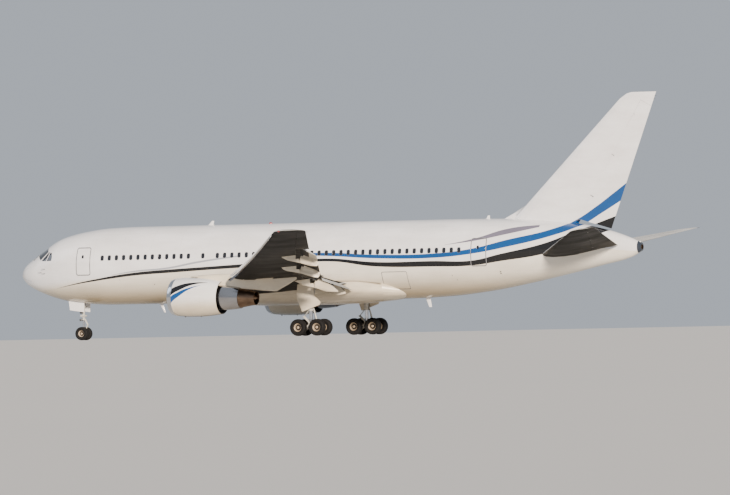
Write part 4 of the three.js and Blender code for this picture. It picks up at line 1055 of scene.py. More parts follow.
class Surface(Enum):
    """Solids that keep their shape, with the finish, slot and crease angle of each."""

    WING = ("wing", WING_PAINT, "wing_grey", 48)
    FLAP_INBOARD = ("flap_inboard", WING_PAINT, "wing_grey", 48)
    FLAP_OUTBOARD = ("flap_outboard", WING_PAINT, "wing_grey", 48)
    AILERON_INBOARD = ("aileron_inboard", WING_PAINT, "wing_grey", 24)
    AILERON_OUTBOARD = ("aileron_outboard", WING_PAINT, "wing_grey", 24)
    SLAT_INBOARD = ("slat_inboard", POLISHED, "bare_metal", 35)
    SLAT_OUTBOARD = ("slat_outboard", POLISHED, "bare_metal", 35)
    STABILIZER = ("stabilizer", TAIL_PAINT, "wing_grey", 24)
    ELEVATOR = ("elevator", TAIL_PAINT, "wing_grey", 24)
    PYLON = ("pylon", WARM_LIT_CREAM_PAINT, "paint_cream", 44)


@dataclass
class Surfaces:
    """Smoothly shaded copies of the solids of wings, tail and fairings."""

    frame: dict = field(default_factory=dict)
    tracks: Row = (3.35, 6.45, 12.3, 16.2)
    track_half: float = 0.24
    track_front: float = 24.0

    def copy(self, node: str, body: str, finish: Finish, slot: str, crease: float = 24) -> Object:
        """Copies a CAD node, merges its loose triangles and shades it smooth.

        Args:
            node: The CAD node.
            body: The body that the copy rides on.
            finish: The copy's surface.
            slot: The record's material slot; not used.
            crease: Edges sharper than this many degrees stay crisp.

        Returns:
            The copy, which stands for the node.
        """
        bm = bmesh.new()
        bm.from_mesh(self.frame["nodes"][node].data)
        bmesh.ops.remove_doubles(bm, verts=bm.verts, dist=1e-5)
        bmesh.ops.dissolve_limit(bm, angle_limit=math.radians(0.4), verts=bm.verts, edges=bm.edges)
        piece = new_object(bm, node + "_skin")
        smooth(piece.data, crease)
        modified(piece, "WEIGHTED_NORMAL", keep_sharp=True, weight=80)
        coated(piece, finish)
        if node.startswith(("wing", "flap")):
            # Painted warm light: the track fairings take the cream in the second slot
            coated(piece, finish, WARM_LIT_CREAM_PAINT)
            self.paint_tracks(piece.data, node.startswith("wing"))
        return carried(piece, body, (node,))

    def paint_tracks(self, mesh: Mesh, on_wing: bool) -> None:
        """Gives the flap track fairings the cream finish, a painted warm light against the painted shade of
        the wing's underside.

        Args:
            mesh: A wing's or a flap's mesh, with the cream in its second slot.
            on_wing: True for a wing, where only what hangs under the skin is a fairing.
        """
        back = Model.matrix().inverted()
        for face in mesh.polygons:
            x, y, z = back @ face.center
            y = abs(y)
            near = min(abs(y - track) for track in self.tracks) < self.track_half
            skin = wing_height(y) - 0.3
            hangs = z < skin or x > self.track_front and z < skin + 0.15
            if near and face.normal.z < 0.35 and (hangs or not on_wing):
                face.material_index = 1

    def build(self) -> None:
        """Copies every solid in the list on both sides, and those on the centre line."""
        bodies = self.frame["bodies"]
        for surface in Surface:
            stem, finish, slot, crease = surface.value
            for side in Side:
                node = f"{stem}_{side.word}"
                self.copy(node, node if node in bodies else "airframe", finish, slot, crease)
        self.copy("fin", "airframe", FIN_PAINT, "paint_white")
        self.copy("rudder", "rudder", FIN_PAINT, "paint_white")
        self.copy("belly_fairing", "airframe", WARM_LIT_CREAM_PAINT, "paint_cream")
        for side in Side:
            self.copy(f"main_gear_door_{side.word}", "airframe", WARM_LIT_CREAM_PAINT, "paint_cream")
            self.copy(f"nose_gear_door_{side.word}", "airframe", FIN_PAINT, "paint_white")


# Engines


@dataclass
class Engine:
    """One turbofan: lip, cowl, core, nozzle, plug, guide vanes and the fan that turns.

    The profiles give x along the engine's own line and radius from it. The blades' sections give radius,
    chord, thickness and stagger in degrees.
    """

    side: Side
    origin: Row = (16.3, 7.93, -2.31)
    pitch: float = math.radians(1.6)
    fan_x: float = 16.4
    fan_blades: int = 22
    blade: tuple[Row, ...] = (
        (0.38, 0.24, 0.045, 24), (0.6, 0.27, 0.034, 34), (0.8, 0.29, 0.026, 43), (1.0, 0.31, 0.02, 51),
        (1.145, 0.32, 0.014, 57),
    )
    spinner: tuple[Row, ...] = (
        (-0.64, 0.0), (-0.63, 0.04), (-0.58, 0.11), (-0.5, 0.185), (-0.38, 0.27), (-0.25, 0.34),
        (-0.13, 0.395), (0.15, 0.455), (0.15, 0.1),
    )
    vanes: int = 44
    vane_x: float = 17.08
    vane: tuple[Row, ...] = ((0.62, 0.2, 0.02, -12), (1.185, 0.2, 0.02, -12))
    outside: tuple[Row, ...] = (
        (15.75, 1.305), (16.2, 1.335), (16.7, 1.35), (17.6, 1.33), (18.5, 1.24), (19.11, 1.145),
    )
    inside: tuple[Row, ...] = (
        (19.11, 1.125), (18.7, 1.155), (18.3, 1.18), (16.1, 1.18), (15.9, 1.13), (15.75, 1.08),
    )
    lip: tuple[Row, ...] = (
        (15.752, 1.08), (15.62, 1.082), (15.5, 1.095), (15.42, 1.12), (15.385, 1.15), (15.38, 1.175),
        (15.395, 1.2), (15.45, 1.232), (15.56, 1.268), (15.66, 1.29), (15.752, 1.305),
    )
    rim: tuple[Row, ...] = ((18.7, 1.15), (19.07, 1.118), (19.12, 1.118), (19.12, 1.14), (19.0, 1.15))
    core: tuple[Row, ...] = (
        (16.8, 0.56), (17.2, 0.68), (17.8, 0.78), (18.4, 0.85), (19.11, 0.87), (19.8, 0.83), (20.54, 0.74),
    )
    nozzle: tuple[Row, ...] = (
        (20.55, 0.70), (20.57, 0.68), (21.1, 0.585), (21.5, 0.51), (21.68, 0.48), (21.68, 0.455),
        (21.2, 0.44), (20.6, 0.5),
    )
    plug: tuple[Row, ...] = (
        (20.7, 0.0), (20.7, 0.34), (21.1, 0.31), (21.35, 0.24), (21.6, 0.13), (21.75, 0.03), (21.76, 0.0),
    )
    seams: Row = (16.05, 17.02, 17.95)
    latches: Row = (16.25, 16.5, 16.75, 17.3, 17.6)
    drains: Row = (16.3, 17.5)
    strake: tuple[Row, ...] = ((16.35, 1.33), (17.55, 1.325), (17.55, 1.54), (17.35, 1.56))
    strake_lean: float = math.radians(42)

    def place(self) -> Matrix:
        """Gives the transform from the engine's own line to the aircraft, mirrored to port."""
        x, y, z = self.origin
        move = Matrix.Translation((x, self.side.value * y, z)) @ Matrix.Rotation(self.pitch, 4, "Y")
        return move @ Matrix.Diagonal((1, self.side.value, 1, 1)) @ Matrix.Translation((-x, 0, 0))

    def name(self, stem: str) -> str:
        """Gives a piece's name on this side."""
        return f"{stem}_{self.side.word}"

    def spun(self, stem: str, profile: list[Row], finish: Finish, body: str = "airframe", steps: int = 96,
             angle: float = 35, replaces: tuple[str, ...] = ()) -> None:
        """Spins a round piece about the engine's line.

        Args:
            stem: The piece's name without its side.
            profile: Its outline, as x and radius.
            finish: Its surface.
            body: What carries it.
            steps: How many sections it has.
            angle: Edges sharper than this stay crisp.
            replaces: CAD nodes that it stands for.
        """
        bm = bmesh.new()
        turned(bm, profile, self.place(), steps)
        finished(bm, self.name(stem), body, finish, angle, replaces=replaces)

    def grooved(self, table: tuple[Row, ...], steps: int = 24) -> list[Row]:
        """Draws a cowl's profile smoothly, with a narrow groove at each panel seam."""
        start, end = table[0][0], table[-1][0]
        places = [start + (end - start) * i / steps for i in range(steps + 1)]
        profile = [(x, eased(table, 1, x)) for x in places if min(abs(x - s) for s in self.seams) > 0.02]
        for seam in self.seams:
            for off, depth in ((-0.007, 0.0), (-0.006, 0.012), (0.006, 0.012), (0.007, 0.0)):
                profile.append((seam + off, eased(table, 1, seam) - depth))
        return sorted(profile)

    def cowl(self) -> None:
        """Builds the polished lip, the painted cowl, its lining and the dark rim of its nozzle, which is
        painted shade of the duct.
        """
        self.spun("inlet_lip", self.lip, POLISHED)
        profile = self.grooved(self.outside) + list(self.inside)
        profile.append(profile[0])
        nacelle = (self.name("nacelle"),)
        self.spun("fan_cowl", profile, COWL_PAINT, angle=30, replaces=nacelle)
        liner = [(x, radius - 0.004) for x, radius in reversed(self.inside)]
        back = [(x, radius + 0.004) for x, radius in self.inside]
        self.spun("cowl_liner", liner + back + [liner[0]], LINER, angle=40)
        # Painted shade: a dark band inside the nozzle's exit stands for the shaded duct
        self.spun("nozzle_rim", self.rim, SEAL)

    def core_parts(self, rows: int = 30) -> None:
        """Builds the core cowl, the hot nozzle and its plug."""
        start, end = self.core[0][0], self.core[-1][0]
        places = [start + i * (end - start) / rows for i in range(rows + 1)]
        sheet = [(x, eased(self.core, 1, x)) for x in places]
        closed = [(start, 0.2), *sheet, (end + 0.02, 0.6)]
        self.spun("core_cowl", closed, CORE_METAL, replaces=(self.name("engine_core"),))
        self.spun("hot_nozzle", self.nozzle, NOZZLE_METAL)
        self.spun("nozzle_plug", self.plug, NOZZLE_METAL, steps=48)

    def blade_ring(self, bm: BMesh, x: float, rows: tuple[Row, ...], count: int) -> None:
        """Adds a ring of blades.

        Args:
            bm: The mesh to add to.
            x: Where the ring stands on the engine's line.
            rows: Radius, chord, thickness and stagger of each section of a blade.
            count: How many blades it has.
        """
        for i in range(count):
            spot = self.place() @ Matrix.Rotation((i + 0.5) / count * TAU, 4, "X")
            drawn_skin(bm, 12, [
                spot @ Matrix.Translation((x, 0, radius)) @ Matrix.Rotation(math.radians(stagger), 4, "Z")
                @ Matrix.Diagonal((chord / 2, thick / 2, 1, 1)) for radius, chord, thick, stagger in rows
            ], foot=False)

    def fan(self) -> None:
        """Builds the spinner and the fan blades, which turn, and the fixed guide vanes behind them."""
        fan = self.name("fan")
        blades, vanes = bmesh.new(), bmesh.new()
        self.blade_ring(blades, self.fan_x, self.blade, self.fan_blades)
        finished(blades, self.name("fan_blades"), fan, TITANIUM, replaces=(fan,))
        spinner = [(self.fan_x + x, radius) for x, radius in self.spinner]
        self.spun("spinner", spinner, SEAL, fan, steps=64)
        self.blade_ring(vanes, self.vane_x, self.vane, self.vanes)
        finished(vanes, self.name("guide_vanes"), "airframe", GEAR_PAINT)

    def fittings(self) -> None:
        """Adds the cowl's inboard strake, and the latches and drain stubs along its bottom."""
        strake, latches = bmesh.new(), bmesh.new()
        _, y, z = self.origin
        y *= self.side.value
        made = plate(strake, self.strake, -0.012, 0.012, 0.005)
        lean = Matrix.Rotation(self.side.value * self.strake_lean, 4, "X")
        bmesh.ops.transform(strake, matrix=Matrix.Translation((0, y, z)) @ lean, verts=made)
        finished(strake, self.name("cowl_strake"), "airframe", COWL_PAINT)
        for x in self.latches:
            block(latches, (x - 0.05, y - 0.035, z - 1.36), (x + 0.05, y + 0.035, z - 1.325), 0.008)
        for x in self.drains:
            block(latches, (x - 0.02, y - 0.15, z - 1.4), (x + 0.06, y - 0.12, z - 1.3), 0.008)
        finished(latches, self.name("cowl_latches"), "airframe", STEEL)

    def build(self) -> None:
        """Builds every piece of the engine."""
        self.cowl()
        self.core_parts()
        self.fan()
        self.fittings()


# Landing gear


@dataclass(frozen=True)
class WheelSize:
    """Sizes of one kind of wheel: tyre radius and width, rim radius, distance between the pair."""

    tyre: float
    width: float
    rim: float
    track: float
    grooves: int
    bolts: int


MAIN_WHEEL = WheelSize(0.585, 0.457, 0.275, 1.14, 5, 9)
NOSE_WHEEL = WheelSize(0.47, 0.355, 0.215, 0.61, 4, 8)


@dataclass
class WheelPair:
    """Two wheels on one axle, which turn together.

    rim, web, cap and brake are outlines of one wheel, in shares of the tyre's half width and of the rim's
    radius, with the outboard side positive.
    """

    node: str
    centre: Row
    size: WheelSize
    rim: tuple[Row, ...] = (
        (0.2, 0.74), (0.3, 0.78), (0.5, 0.86), (0.6, 0.93), (0.66, 1.06), (0.72, 1.07), (0.72, 1.0),
        (0.5, 0.95), (0.1, 0.9), (-0.5, 0.9), (-0.72, 1.0), (-0.72, 1.06), (-0.6, 0.97), (-0.55, 0.74),
        (0.2, 0.74),
    )
    web: tuple[Row, ...] = (
        (0.30, 0.0), (0.30, 0.26), (0.38, 0.32), (0.38, 0.44), (0.18, 0.52), (0.16, 0.76), (-0.52, 0.76),
        (-0.5, 0.0),
    )
    cap: tuple[Row, ...] = ((0.30, 0.0), (0.58, 0.0), (0.58, 0.14), (0.54, 0.24), (0.46, 0.34), (0.3, 0.36))
    brake: tuple[Row, ...] = (
        (-0.5, 0.35), (-0.9, 0.35), (-1.02, 0.42), (-1.02, 0.72), (-0.9, 0.8), (-0.5, 0.8),
    )
    axle: float = 0.075

    def tyre_profile(self, across: float) -> list[Row]:
        """Gives the tyre's outline as distance along the axle and radius, with its grooves."""
        size, spread = self.size, 0.52
        half, bead = size.width / 2, size.rim / size.tyre
        wall = (
            (0.62, bead), (0.78, bead + 0.02), (0.93, bead + 0.16), (1.0, 0.76), (0.985, 0.86), (0.92, 0.93),
            (0.83, 0.968), (0.72, 0.985),
        )
        right = [(across + a * half, r * size.tyre) for a, r in wall]
        left = [(2 * across - a, r) for a, r in reversed(right)]
        tread = []
        for i in range(size.grooves):
            out = spread - 2 * spread * i / (size.grooves - 1)
            crown = size.tyre * (1 - 0.012 * abs(out))
            for off, depth in ((0.009, 0.0), (0.006, 0.014), (-0.006, 0.014), (-0.009, 0.0)):
                tread.append((across + half * out + off, crown - depth))
        return right + tread + left

    def wheel_profile(self, rows: tuple[Row, ...], across: float, out: float) -> list[Row]:
        """Gives an outline of one wheel from shares of the tyre's half width and of the rim's radius."""
        half, rim = self.size.width / 2, self.size.rim
        return [(across + out * a * half, r * rim) for a, r in rows]

    def build(self) -> None:
        """Builds tyres, rims, webs, caps, and the axle with brakes and bolts."""
        size = self.size
        place = Matrix.Translation(self.centre) @ Matrix.Rotation(math.pi / 2, 4, "Z")
        tyres, rims, webs, caps, hubs = (bmesh.new() for _ in range(5))
        # The webs' near black is painted shade in the wheels' recesses
        parts = (
            (rims, "_rims", self.rim, 56, WHEEL_PAINT), (webs, "_webs", self.web, 40, WHEEL_WEB_SHADE),
            (caps, "_caps", self.cap, 32, WHEEL_PAINT), (hubs, "_hubs", self.brake, 40, STEEL),
        )
        far = size.track / 2
        for out in (-1, 1):
            profile = self.tyre_profile(out * far)
            turned(tyres, profile + [profile[0]], place, 72)
            for bm, _, rows, steps, _ in parts:
                turned(bm, self.wheel_profile(rows, out * far, out), place, steps)
            self.bolts(hubs, out * far, out, place)
        turned(hubs, ((-far, 0.0), (-far, self.axle), (far, self.axle), (far, 0.0)), place, 24)
        finished(tyres, self.node + "_tyres", self.node, TYRE_RUBBER, 50, replaces=(self.node,))
        for bm, part, _, _, finish in parts:
            finished(bm, self.node + part, self.node, finish, 40)

    def bolts(self, bm: BMesh, across: float, out: int, place: Matrix) -> None:
        """Adds the ring of bolts of one wheel."""
        half, rim = self.size.width / 2, self.size.rim
        for i in range(self.size.bolts):
            turn = (i + 0.5) / self.size.bolts * TAU
            y, z = rim * 0.66 * math.cos(turn), rim * 0.66 * math.sin(turn)
            foot, tip = (place @ Vector((across + out * half * share, y, z)) for share in (0.2, 0.27))
            bar(bm, foot, tip, rim * 0.055, sides=6)


@dataclass
class MainGear:
    """A four wheel bogie on its oleo strut, with braces, links and hoses.

    A brace has the place of its head, as aft, out and height, and its radius.
    """

    side: Side
    x: float = 24.29
    y: float = 4.65
    axle_z: float = -4.565
    base: float = 1.42
    cylinder: tuple[Row, ...] = (
        (-3.43, 0.0), (-3.43, 0.165), (-3.40, 0.185), (-3.3, 0.185), (-3.28, 0.168), (-2.98, 0.168),
        (-2.96, 0.19), (-2.82, 0.19), (-2.8, 0.168), (-2.0, 0.168), (-1.98, 0.18), (-1.3, 0.18),
        (-1.3, 0.0),
    )
    brace_foot: float = -2.9
    braces: tuple[tuple[Row, float], ...] = (((0, -1.0, -1.5), 0.07), ((-1.3, -0.5, -1.3), 0.065))
    links: tuple[tuple[Row, ...], ...] = (
        ((-0.56, -3.87), (-0.50, -3.78), (-0.08, -4.20), (-0.08, -4.33)),
        ((-0.15, -3.41), (-0.08, -3.30), (-0.50, -3.78), (-0.56, -3.86)),
    )
    hose_run: tuple[Row, ...] = (
        (0.2, -2.2), (0.21, -3.0), (0.2, -3.4), (0.34, -3.75), (0.24, -4.2), (0.34, -4.42),
    )

    def at(self, aft: float, out: float, z: float) -> Vector:
        """Gives a place from the strut: aft of it, out from it, and its height."""
        return Vector((self.x + aft, self.side.value * (self.y + out), z))

    def across(self, bm: BMesh, aft: float, half: float, z: float, radius: float, sides: int = 20) -> None:
        """Adds a round bar that lies across the gear, half its length on each side of the strut."""
        bar(bm, self.at(aft, -half, z), self.at(aft, half, z), radius, sides=sides)

    def leg(self) -> None:
        """Builds the strut with its side and drag braces, and the chromed piston in it."""
        word = self.side.word
        strut, piston = bmesh.new(), bmesh.new()
        place = Matrix.Translation(self.at(0, 0, 0)) @ Matrix.Rotation(-math.pi / 2, 4, "Y")
        turned(strut, self.cylinder, place, 40)
        for head, radius in self.braces:
            a, b = self.at(0, 0, self.brace_foot), self.at(*head)
            bar(strut, a, b, radius)
            bar(strut, a.lerp(b, 0.42), a.lerp(b, 0.56), radius * 1.35)
        replaced = (f"main_leg_{word}",)
        finished(strut, f"main_strut_{word}", "airframe", GEAR_PAINT, replaces=replaced)
        bar(piston, self.at(0, 0, self.axle_z + 0.05), self.at(0, 0, -3.3), 0.128, sides=40)
        finished(piston, f"main_piston_{word}", "airframe", CHROME)

    def beam(self) -> None:
        """Builds the bogie beam with its axle housings and the pivot under the strut."""
        bm = bmesh.new()
        half, y = self.base / 2, self.side.value * self.y
        front = (
            (-0.24, 0.15), (-half - 0.05, 0.12), (-half - 0.14, 0.05), (-half - 0.14, -0.05),
            (-half - 0.05, -0.13),
        )
        back = [(-a, b) for a, b in reversed(front)]
        outline = [*front, *back, (0.16, 0.27), (-0.16, 0.27)]
        plate(bm, [(self.x + a, self.axle_z + b) for a, b in outline], y - 0.105, y + 0.105, 0.035)
        for aft in (-half, half):
            self.across(bm, aft, 0.19, self.axle_z, 0.145, 32)
            self.across(bm, aft, 0.2, self.axle_z, 0.11, 32)
        self.across(bm, 0, 0.15, self.axle_z + 0.14, 0.09, 28)
        finished(bm, f"bogie_beam_{self.side.word}", "airframe", GEAR_PAINT)

    def link_arms(self) -> None:
        """Builds the torque links in front of the strut and the levelling actuator behind it."""
        arms, rod = bmesh.new(), bmesh.new()
        for sign in (-1, 1):
            low, high = sorted(self.side.value * (self.y + sign * out) for out in (0.03, 0.1))
            for outline in self.links:
                plate(arms, [(self.x + a, b) for a, b in outline], low, high, 0.012)
        for aft, z, radius in ((-0.53, -3.83, 0.045), (-0.12, -4.24, 0.05), (-0.14, -3.36, 0.05)):
            self.across(arms, aft, 0.13, z, radius)
        bar(arms, self.at(0.17, 0, -3.2), self.at(0.42, 0, -4.05), 0.05)
        finished(arms, f"torque_links_{self.side.word}", "airframe", GEAR_PAINT)
        bar(rod, self.at(0.42, 0, -4.05), self.at(0.56, 0, -4.46), 0.028, sides=16)
        finished(rod, f"levelling_rod_{self.side.word}", "airframe", CHROME)

    def hoses(self) -> None:
        """Lays the two brake hoses from the strut to the beam."""
        for i, out in enumerate((-0.07, 0.07)):
            points = [(self.x + aft, self.side.value * (self.y + out), z) for aft, z in self.hose_run]
            hose(f"brake_hose_{i}_{self.side.word}", points, 0.014, "airframe")

    def build(self) -> None:
        """Builds the leg and both pairs of wheels."""
        self.leg()
        self.beam()
        self.link_arms()
        self.hoses()
        for end, sign in (("front", -1), ("rear", 1)):
            centre = (self.x + sign * self.base / 2, self.side.value * self.y, self.axle_z)
            WheelPair(f"main_wheels_{end}_{self.side.word}", centre, MAIN_WHEEL).build()


@dataclass
class NoseGear:
    """The steered nose gear with its lamps, links and brace.

    Each lamp has its place across, its height and its radius.
    """

    x: float = 4.615
    axle_z: float = -4.68
    cylinder: tuple[Row, ...] = (
        (-3.56, 0.086), (-3.56, 0.118), (-3.36, 0.118), (-3.34, 0.1), (-3.2, 0.1), (-3.18, 0.112),
        (-3.08, 0.112), (-3.06, 0.1), (-2.3, 0.1), (-2.3, 0.0),
    )
    lamps: tuple[Row, ...] = (
        (-0.2, -3.72, 0.085), (0.2, -3.72, 0.085), (-0.14, -3.22, 0.07), (0.14, -3.22, 0.07),
    )
    case: tuple[Row, ...] = (
        (0.16, 0.0), (0.15, 0.5), (0.08, 0.9), (0.0, 1.0), (-0.012, 1.0), (-0.012, 0.88), (0.01, 0.86),
    )
    lens: tuple[Row, ...] = ((0.012, 0.86), (-0.006, 0.6), (-0.012, 0.0))
    links: tuple[tuple[Row, ...], ...] = (
        ((0.06, -4.50), (0.13, -4.48), (0.34, -4.08), (0.30, -4.04)),
        ((0.30, -4.09), (0.34, -4.05), (0.13, -3.62), (0.06, -3.67)),
    )

    def leg(self) -> None:
        """Builds the fixed strut, its trunnion, its drag brace and the steering motors."""
        bm = bmesh.new()
        place = Matrix.Translation((self.x, 0, 0)) @ Matrix.Rotation(-math.pi / 2, 4, "Y")
        turned(bm, self.cylinder, place, 36)
        brace_x = self.x - 0.9
        bar(bm, (self.x, -0.42, -2.8), (self.x, 0.42, -2.8), 0.055)
        bar(bm, (self.x, 0, -3.15), (brace_x, 0, -2.38), 0.042)
        bar(bm, (brace_x, -0.26, -2.4), (brace_x, 0.26, -2.4), 0.04)
        for out in (-0.17, 0.17):
            bar(bm, (self.x - 0.16, out, -3.44), (self.x + 0.16, out, -3.44), 0.05)
            block(bm, (self.x - 0.05, min(out, 0), -3.49), (self.x + 0.05, max(out, 0), -3.39), 0.015)
        finished(bm, "nose_strut", "airframe", GEAR_PAINT, replaces=("nose_leg",))

    def lamp_pairs(self) -> None:
        """Builds the taxi lamps and the turn-off lamps over them on the strut."""
        cases, glass = bmesh.new(), bmesh.new()
        for out, z, radius in self.lamps:
            place = Matrix.Translation((self.x - 0.18, out, z))
            for bm, rows in ((cases, self.case), (glass, self.lens)):
                turned(bm, [(x, share * radius) for x, share in rows], place, 32)
            rise = 0.16 if z < self.lamps[-1][1] else 0
            bar(cases, (self.x - 0.1, out, z), (self.x, out * 0.3, z + rise), 0.02)
        finished(cases, "gear_lamp_cases", "airframe", STEEL)
        finished(glass, "gear_lamp_glass", "airframe", LAMP)

    def fork(self) -> None:
        """Builds the piston, axle housing and torque links, which steer."""
        piston, links = bmesh.new(), bmesh.new()
        bar(piston, (self.x, 0, self.axle_z + 0.06), (self.x, 0, -3.1), 0.078, sides=36)
        finished(piston, "nose_piston", "nose_fork", CHROME, replaces=("nose_fork",))
        bar(links, (self.x, -0.1, self.axle_z), (self.x, 0.1, self.axle_z), 0.108, sides=32)
        bar(links, (self.x, 0, self.axle_z + 0.05), (self.x, 0, -4.42), 0.1, 0.088, 32)
        bar(links, (self.x, 0, -3.72), (self.x, 0, -3.6), 0.11, sides=32)
        for sign in (-1, 1):
            low, high = sorted((sign * 0.018, sign * 0.06))
            for outline in self.links:
                plate(links, [(self.x + a, b) for a, b in outline], low, high, 0.008)
        bar(links, (self.x + 0.32, -0.08, -4.065), (self.x + 0.32, 0.08, -4.065), 0.028)
        finished(links, "nose_links", "nose_fork", GEAR_PAINT)

    def build(self) -> None:
        """Builds the nose gear."""
        self.leg()
        self.lamp_pairs()
        self.fork()
        WheelPair("nose_wheels", (self.x, 0, self.axle_z), NOSE_WHEEL).build()


# Antennas, probes and lights


@dataclass
class Fittings:
    """What stands on the skin: blade antennas, probes, lamps and discharge wicks.

    A blade has the x and chord of its root, the x and chord of its tip, the skin's height and its own, which
    is negative where it hangs. A probe has x and z, and a vent has its size too.
    """

    skin: Fuselage
    frame: dict
    blades: tuple[Row, ...] = (
        (14.42, 0.38, 14.70, 0.16, 2.705, 0.29), (35.60, 0.27, 35.72, 0.16, 2.685, 0.22),
        (10.55, 0.25, 10.88, 0.12, -2.705, -0.61), (13.44, 0.30, 13.56, 0.20, -2.705, -0.14),
        (30.90, 0.35, 31.16, 0.20, -2.665, -0.66),
    )
    blade_rows: tuple[Row, ...] = ((-0.12, 0.055), (0.0, 0.052), (0.45, 0.04), (0.9, 0.028), (1.0, 0.012))
    probe_places: tuple[Row, ...] = ((2.52, -0.12), (2.52, -0.42), (2.2, -0.35))
    vents: tuple[Row, ...] = (
        (11.2, -1.35, 0.07), (8.6, -1.0, 0.045), (33.9, -1.2, 0.06), (37.4, -1.0, 0.1), (37.4, -1.12, 0.1),
        (34.2, -1.5, 0.06),
    )
    lamp_cup: tuple[Row, ...] = ((0.03, 0.0), (-0.02, 0.07), (-0.045, 0.112), (-0.05, 0.12), (0.1, 0.13))
    lamp_glass: tuple[Row, ...] = ((-0.06, 0.0), (-0.057, 0.06), (-0.047, 0.11))
    nose_bay: tuple[Row, ...] = ((3.76, -0.44), (4.9, -0.44), (4.9, 0.44), (3.76, 0.44))
    main_bay: tuple[Row, ...] = ((23.62, 2.95), (24.95, 2.95), (24.78, 4.92), (23.72, 4.92))

    def antennas(self) -> None:
        """Builds the blade antennas with rounded sections on small foot plates."""
        bm = bmesh.new()
        for root, chord, tip, tip_chord, skin, height in self.blades:
            places = []
            for share, thick in self.blade_rows:
                up = max(share, 0)
                size, start = chord + (tip_chord - chord) * up, root + (tip - root) * up
                spot = Matrix.Translation((start + size / 2, 0, skin + share * height))
                places.append(spot @ Matrix.Diagonal((size / 2, thick / 2, 1, 1)))
            drawn_skin(bm, 20, places)
            top = skin + (0.012 if height > 0 else 0.018)
            block(bm, (root - 0.03, -0.05, skin - 0.03), (root + chord + 0.03, 0.05, top), 0.006)
        finished(bm, "blade_antennas", "airframe", FIN_PAINT, 50)

    def probes(self) -> None:
        """Builds the pitot probes on the nose and the vents along the body."""
        probes, vents = bmesh.new(), bmesh.new()
        for side in Side:
            for x, z in self.probe_places:
                foot = self.skin.on_skin(side, x, z)
                out = self.skin.normal(foot)
                head = foot + out * 0.11
                bar(probes, foot - out * 0.02, head, 0.022, 0.014, 12)
                bar(probes, head + Vector((0.05, 0, 0)), head - Vector((0.2, 0, 0)), 0.014, 0.009, 12)
            for x, z, size in self.vents:
                foot = self.skin.on_skin(side, x, z)
                out = self.skin.normal(foot)
                bar(vents, foot - out * 0.02, foot + out * 0.006, size / 2, size / 2.2, 16)
        finished(probes, "pitot_probes", "airframe", STEEL)
        finished(vents, "skin_vents", "airframe", SEAL)

    def drape(self, name: str, outline: list[Row], nodes: tuple[str, ...]) -> None:
        """Lays a thin dark panel on the underside of CAD nodes, where a gear bay's mouth is, as painted shade
        for the bay's inside.

        Args:
            name: The panel's name.
            outline: The corners' x and y, counterclockwise and convex.
            nodes: The nodes that it lies on.
        """
        trees = []
        for node in nodes:
            solid = bmesh.new()
            solid.from_mesh(self.frame["nodes"][node].data)
            trees.append(BVHTree.FromBMesh(solid))
            solid.free()
        points = [Model.at(x, y, 0) for x, y in outline]
        middle = sum(points, Vector()) / len(points)
        reach = max((p - middle).length for p in points)
        bm = bmesh.new()
        bmesh.ops.create_grid(bm, x_segments=28, y_segments=28, size=reach, matrix=Matrix.Translation(middle))
        for a, b in zip(points, points[1:] + points[:1]):
            everything = [*bm.verts, *bm.edges, *bm.faces]
            bmesh.ops.bisect_plane(
                bm, geom=everything, plane_co=a, plane_no=(b - a).cross(UP), clear_outer=True,
            )
        lost = []
        for vert in bm.verts:
            start = Vector((vert.co.x, vert.co.y, -5))
            hits = [hit[0].z for hit in (tree.ray_cast(start, UP) for tree in trees) if hit[0]]
            if hits:
                vert.co.z = min(hits) - 0.004
            else:
                lost.append(vert)
        bmesh.ops.delete(bm, geom=lost, context="VERTS")
        pushed(bm, list(bm.faces), (0, 0, 0.008))
        finished(bm, name, "airframe", WELL_SHADE, 50, real_size=False)

    def bays(self) -> None:
        """Lays the open gear bays' dark mouths, painted shade for their insides, on the belly and under the
        wings.
        """
        self.drape("nose_bay", self.nose_bay, ("fuselage",))
        for side in Side:
            # Mirrored to port, the corners run the wrong way round, so they are read backwards there
            outline = [(x, side.value * y) for x, y in self.main_bay][::side.value]
            self.drape(f"main_bay_{side.word}", outline, (f"wing_{side.word}", "belly_fairing"))

    def wicks(self) -> None:
        """Builds the static discharge wicks on the trailing edges of wings, tailplane and fin."""
        bm = bmesh.new()
        places = []
        for side in Side:
            s = side.value
            places += [(22.91 + 0.4148 * y, s * y, wing_height(y), 0.16) for y in (22.95, 23.2, 23.45)]
            places += [(45.61 + 0.22 * y, s * y, 0.52 + 0.1416 * y, 0.14) for y in (8.95, 9.1)]
        places += [(45.06 + 0.378 * (z - 2), 0, z, 0.14) for z in (10.65, 10.85)]
        for x, y, z, length in places:
            bar(bm, (x - 0.05, y, z), (x + length, y, z), 0.008, 0.004, 6)
        finished(bm, "static_wicks", "airframe", SEAL)

    def root_lamps(self) -> None:
        """Builds the landing lamps in the wing roots, two on each side."""
        cups, glass = bmesh.new(), bmesh.new()
        for side in Side:
            turn = Matrix.Rotation(side.value * math.radians(20), 4, "Z")
            for y in (2.86, 3.16):
                place = Matrix.Translation((14.43 + 0.6788 * y, side.value * y, wing_height(y, 0.0))) @ turn
                turned(cups, self.lamp_cup, place, 32)
                turned(glass, self.lamp_glass, place, 32)
        finished(cups, "landing_lamp_cups", "airframe", CHROME)
        finished(glass, "landing_lamp_glass", "airframe", LAMP)

    def dome(self, name: str, centre: Row, turn: float, sizes: Row, finish: Finish) -> None:
        """Builds a rounded lamp glass.

        Args:
            name: The lamp's name.
            centre: Its middle.
            turn: Its turn about the vertical in radians.
            sizes: Its half length, half width and half height.
            finish: Its surface.
        """
        bm = bmesh.new()
        place = Matrix.Translation(centre) @ Matrix.Rotation(turn, 4, "Z") @ Matrix.Diagonal((*sizes, 1))
        bmesh.ops.create_uvsphere(bm, u_segments=24, v_segments=12, radius=1, matrix=place)
        finished(bm, name, "airframe", finish)

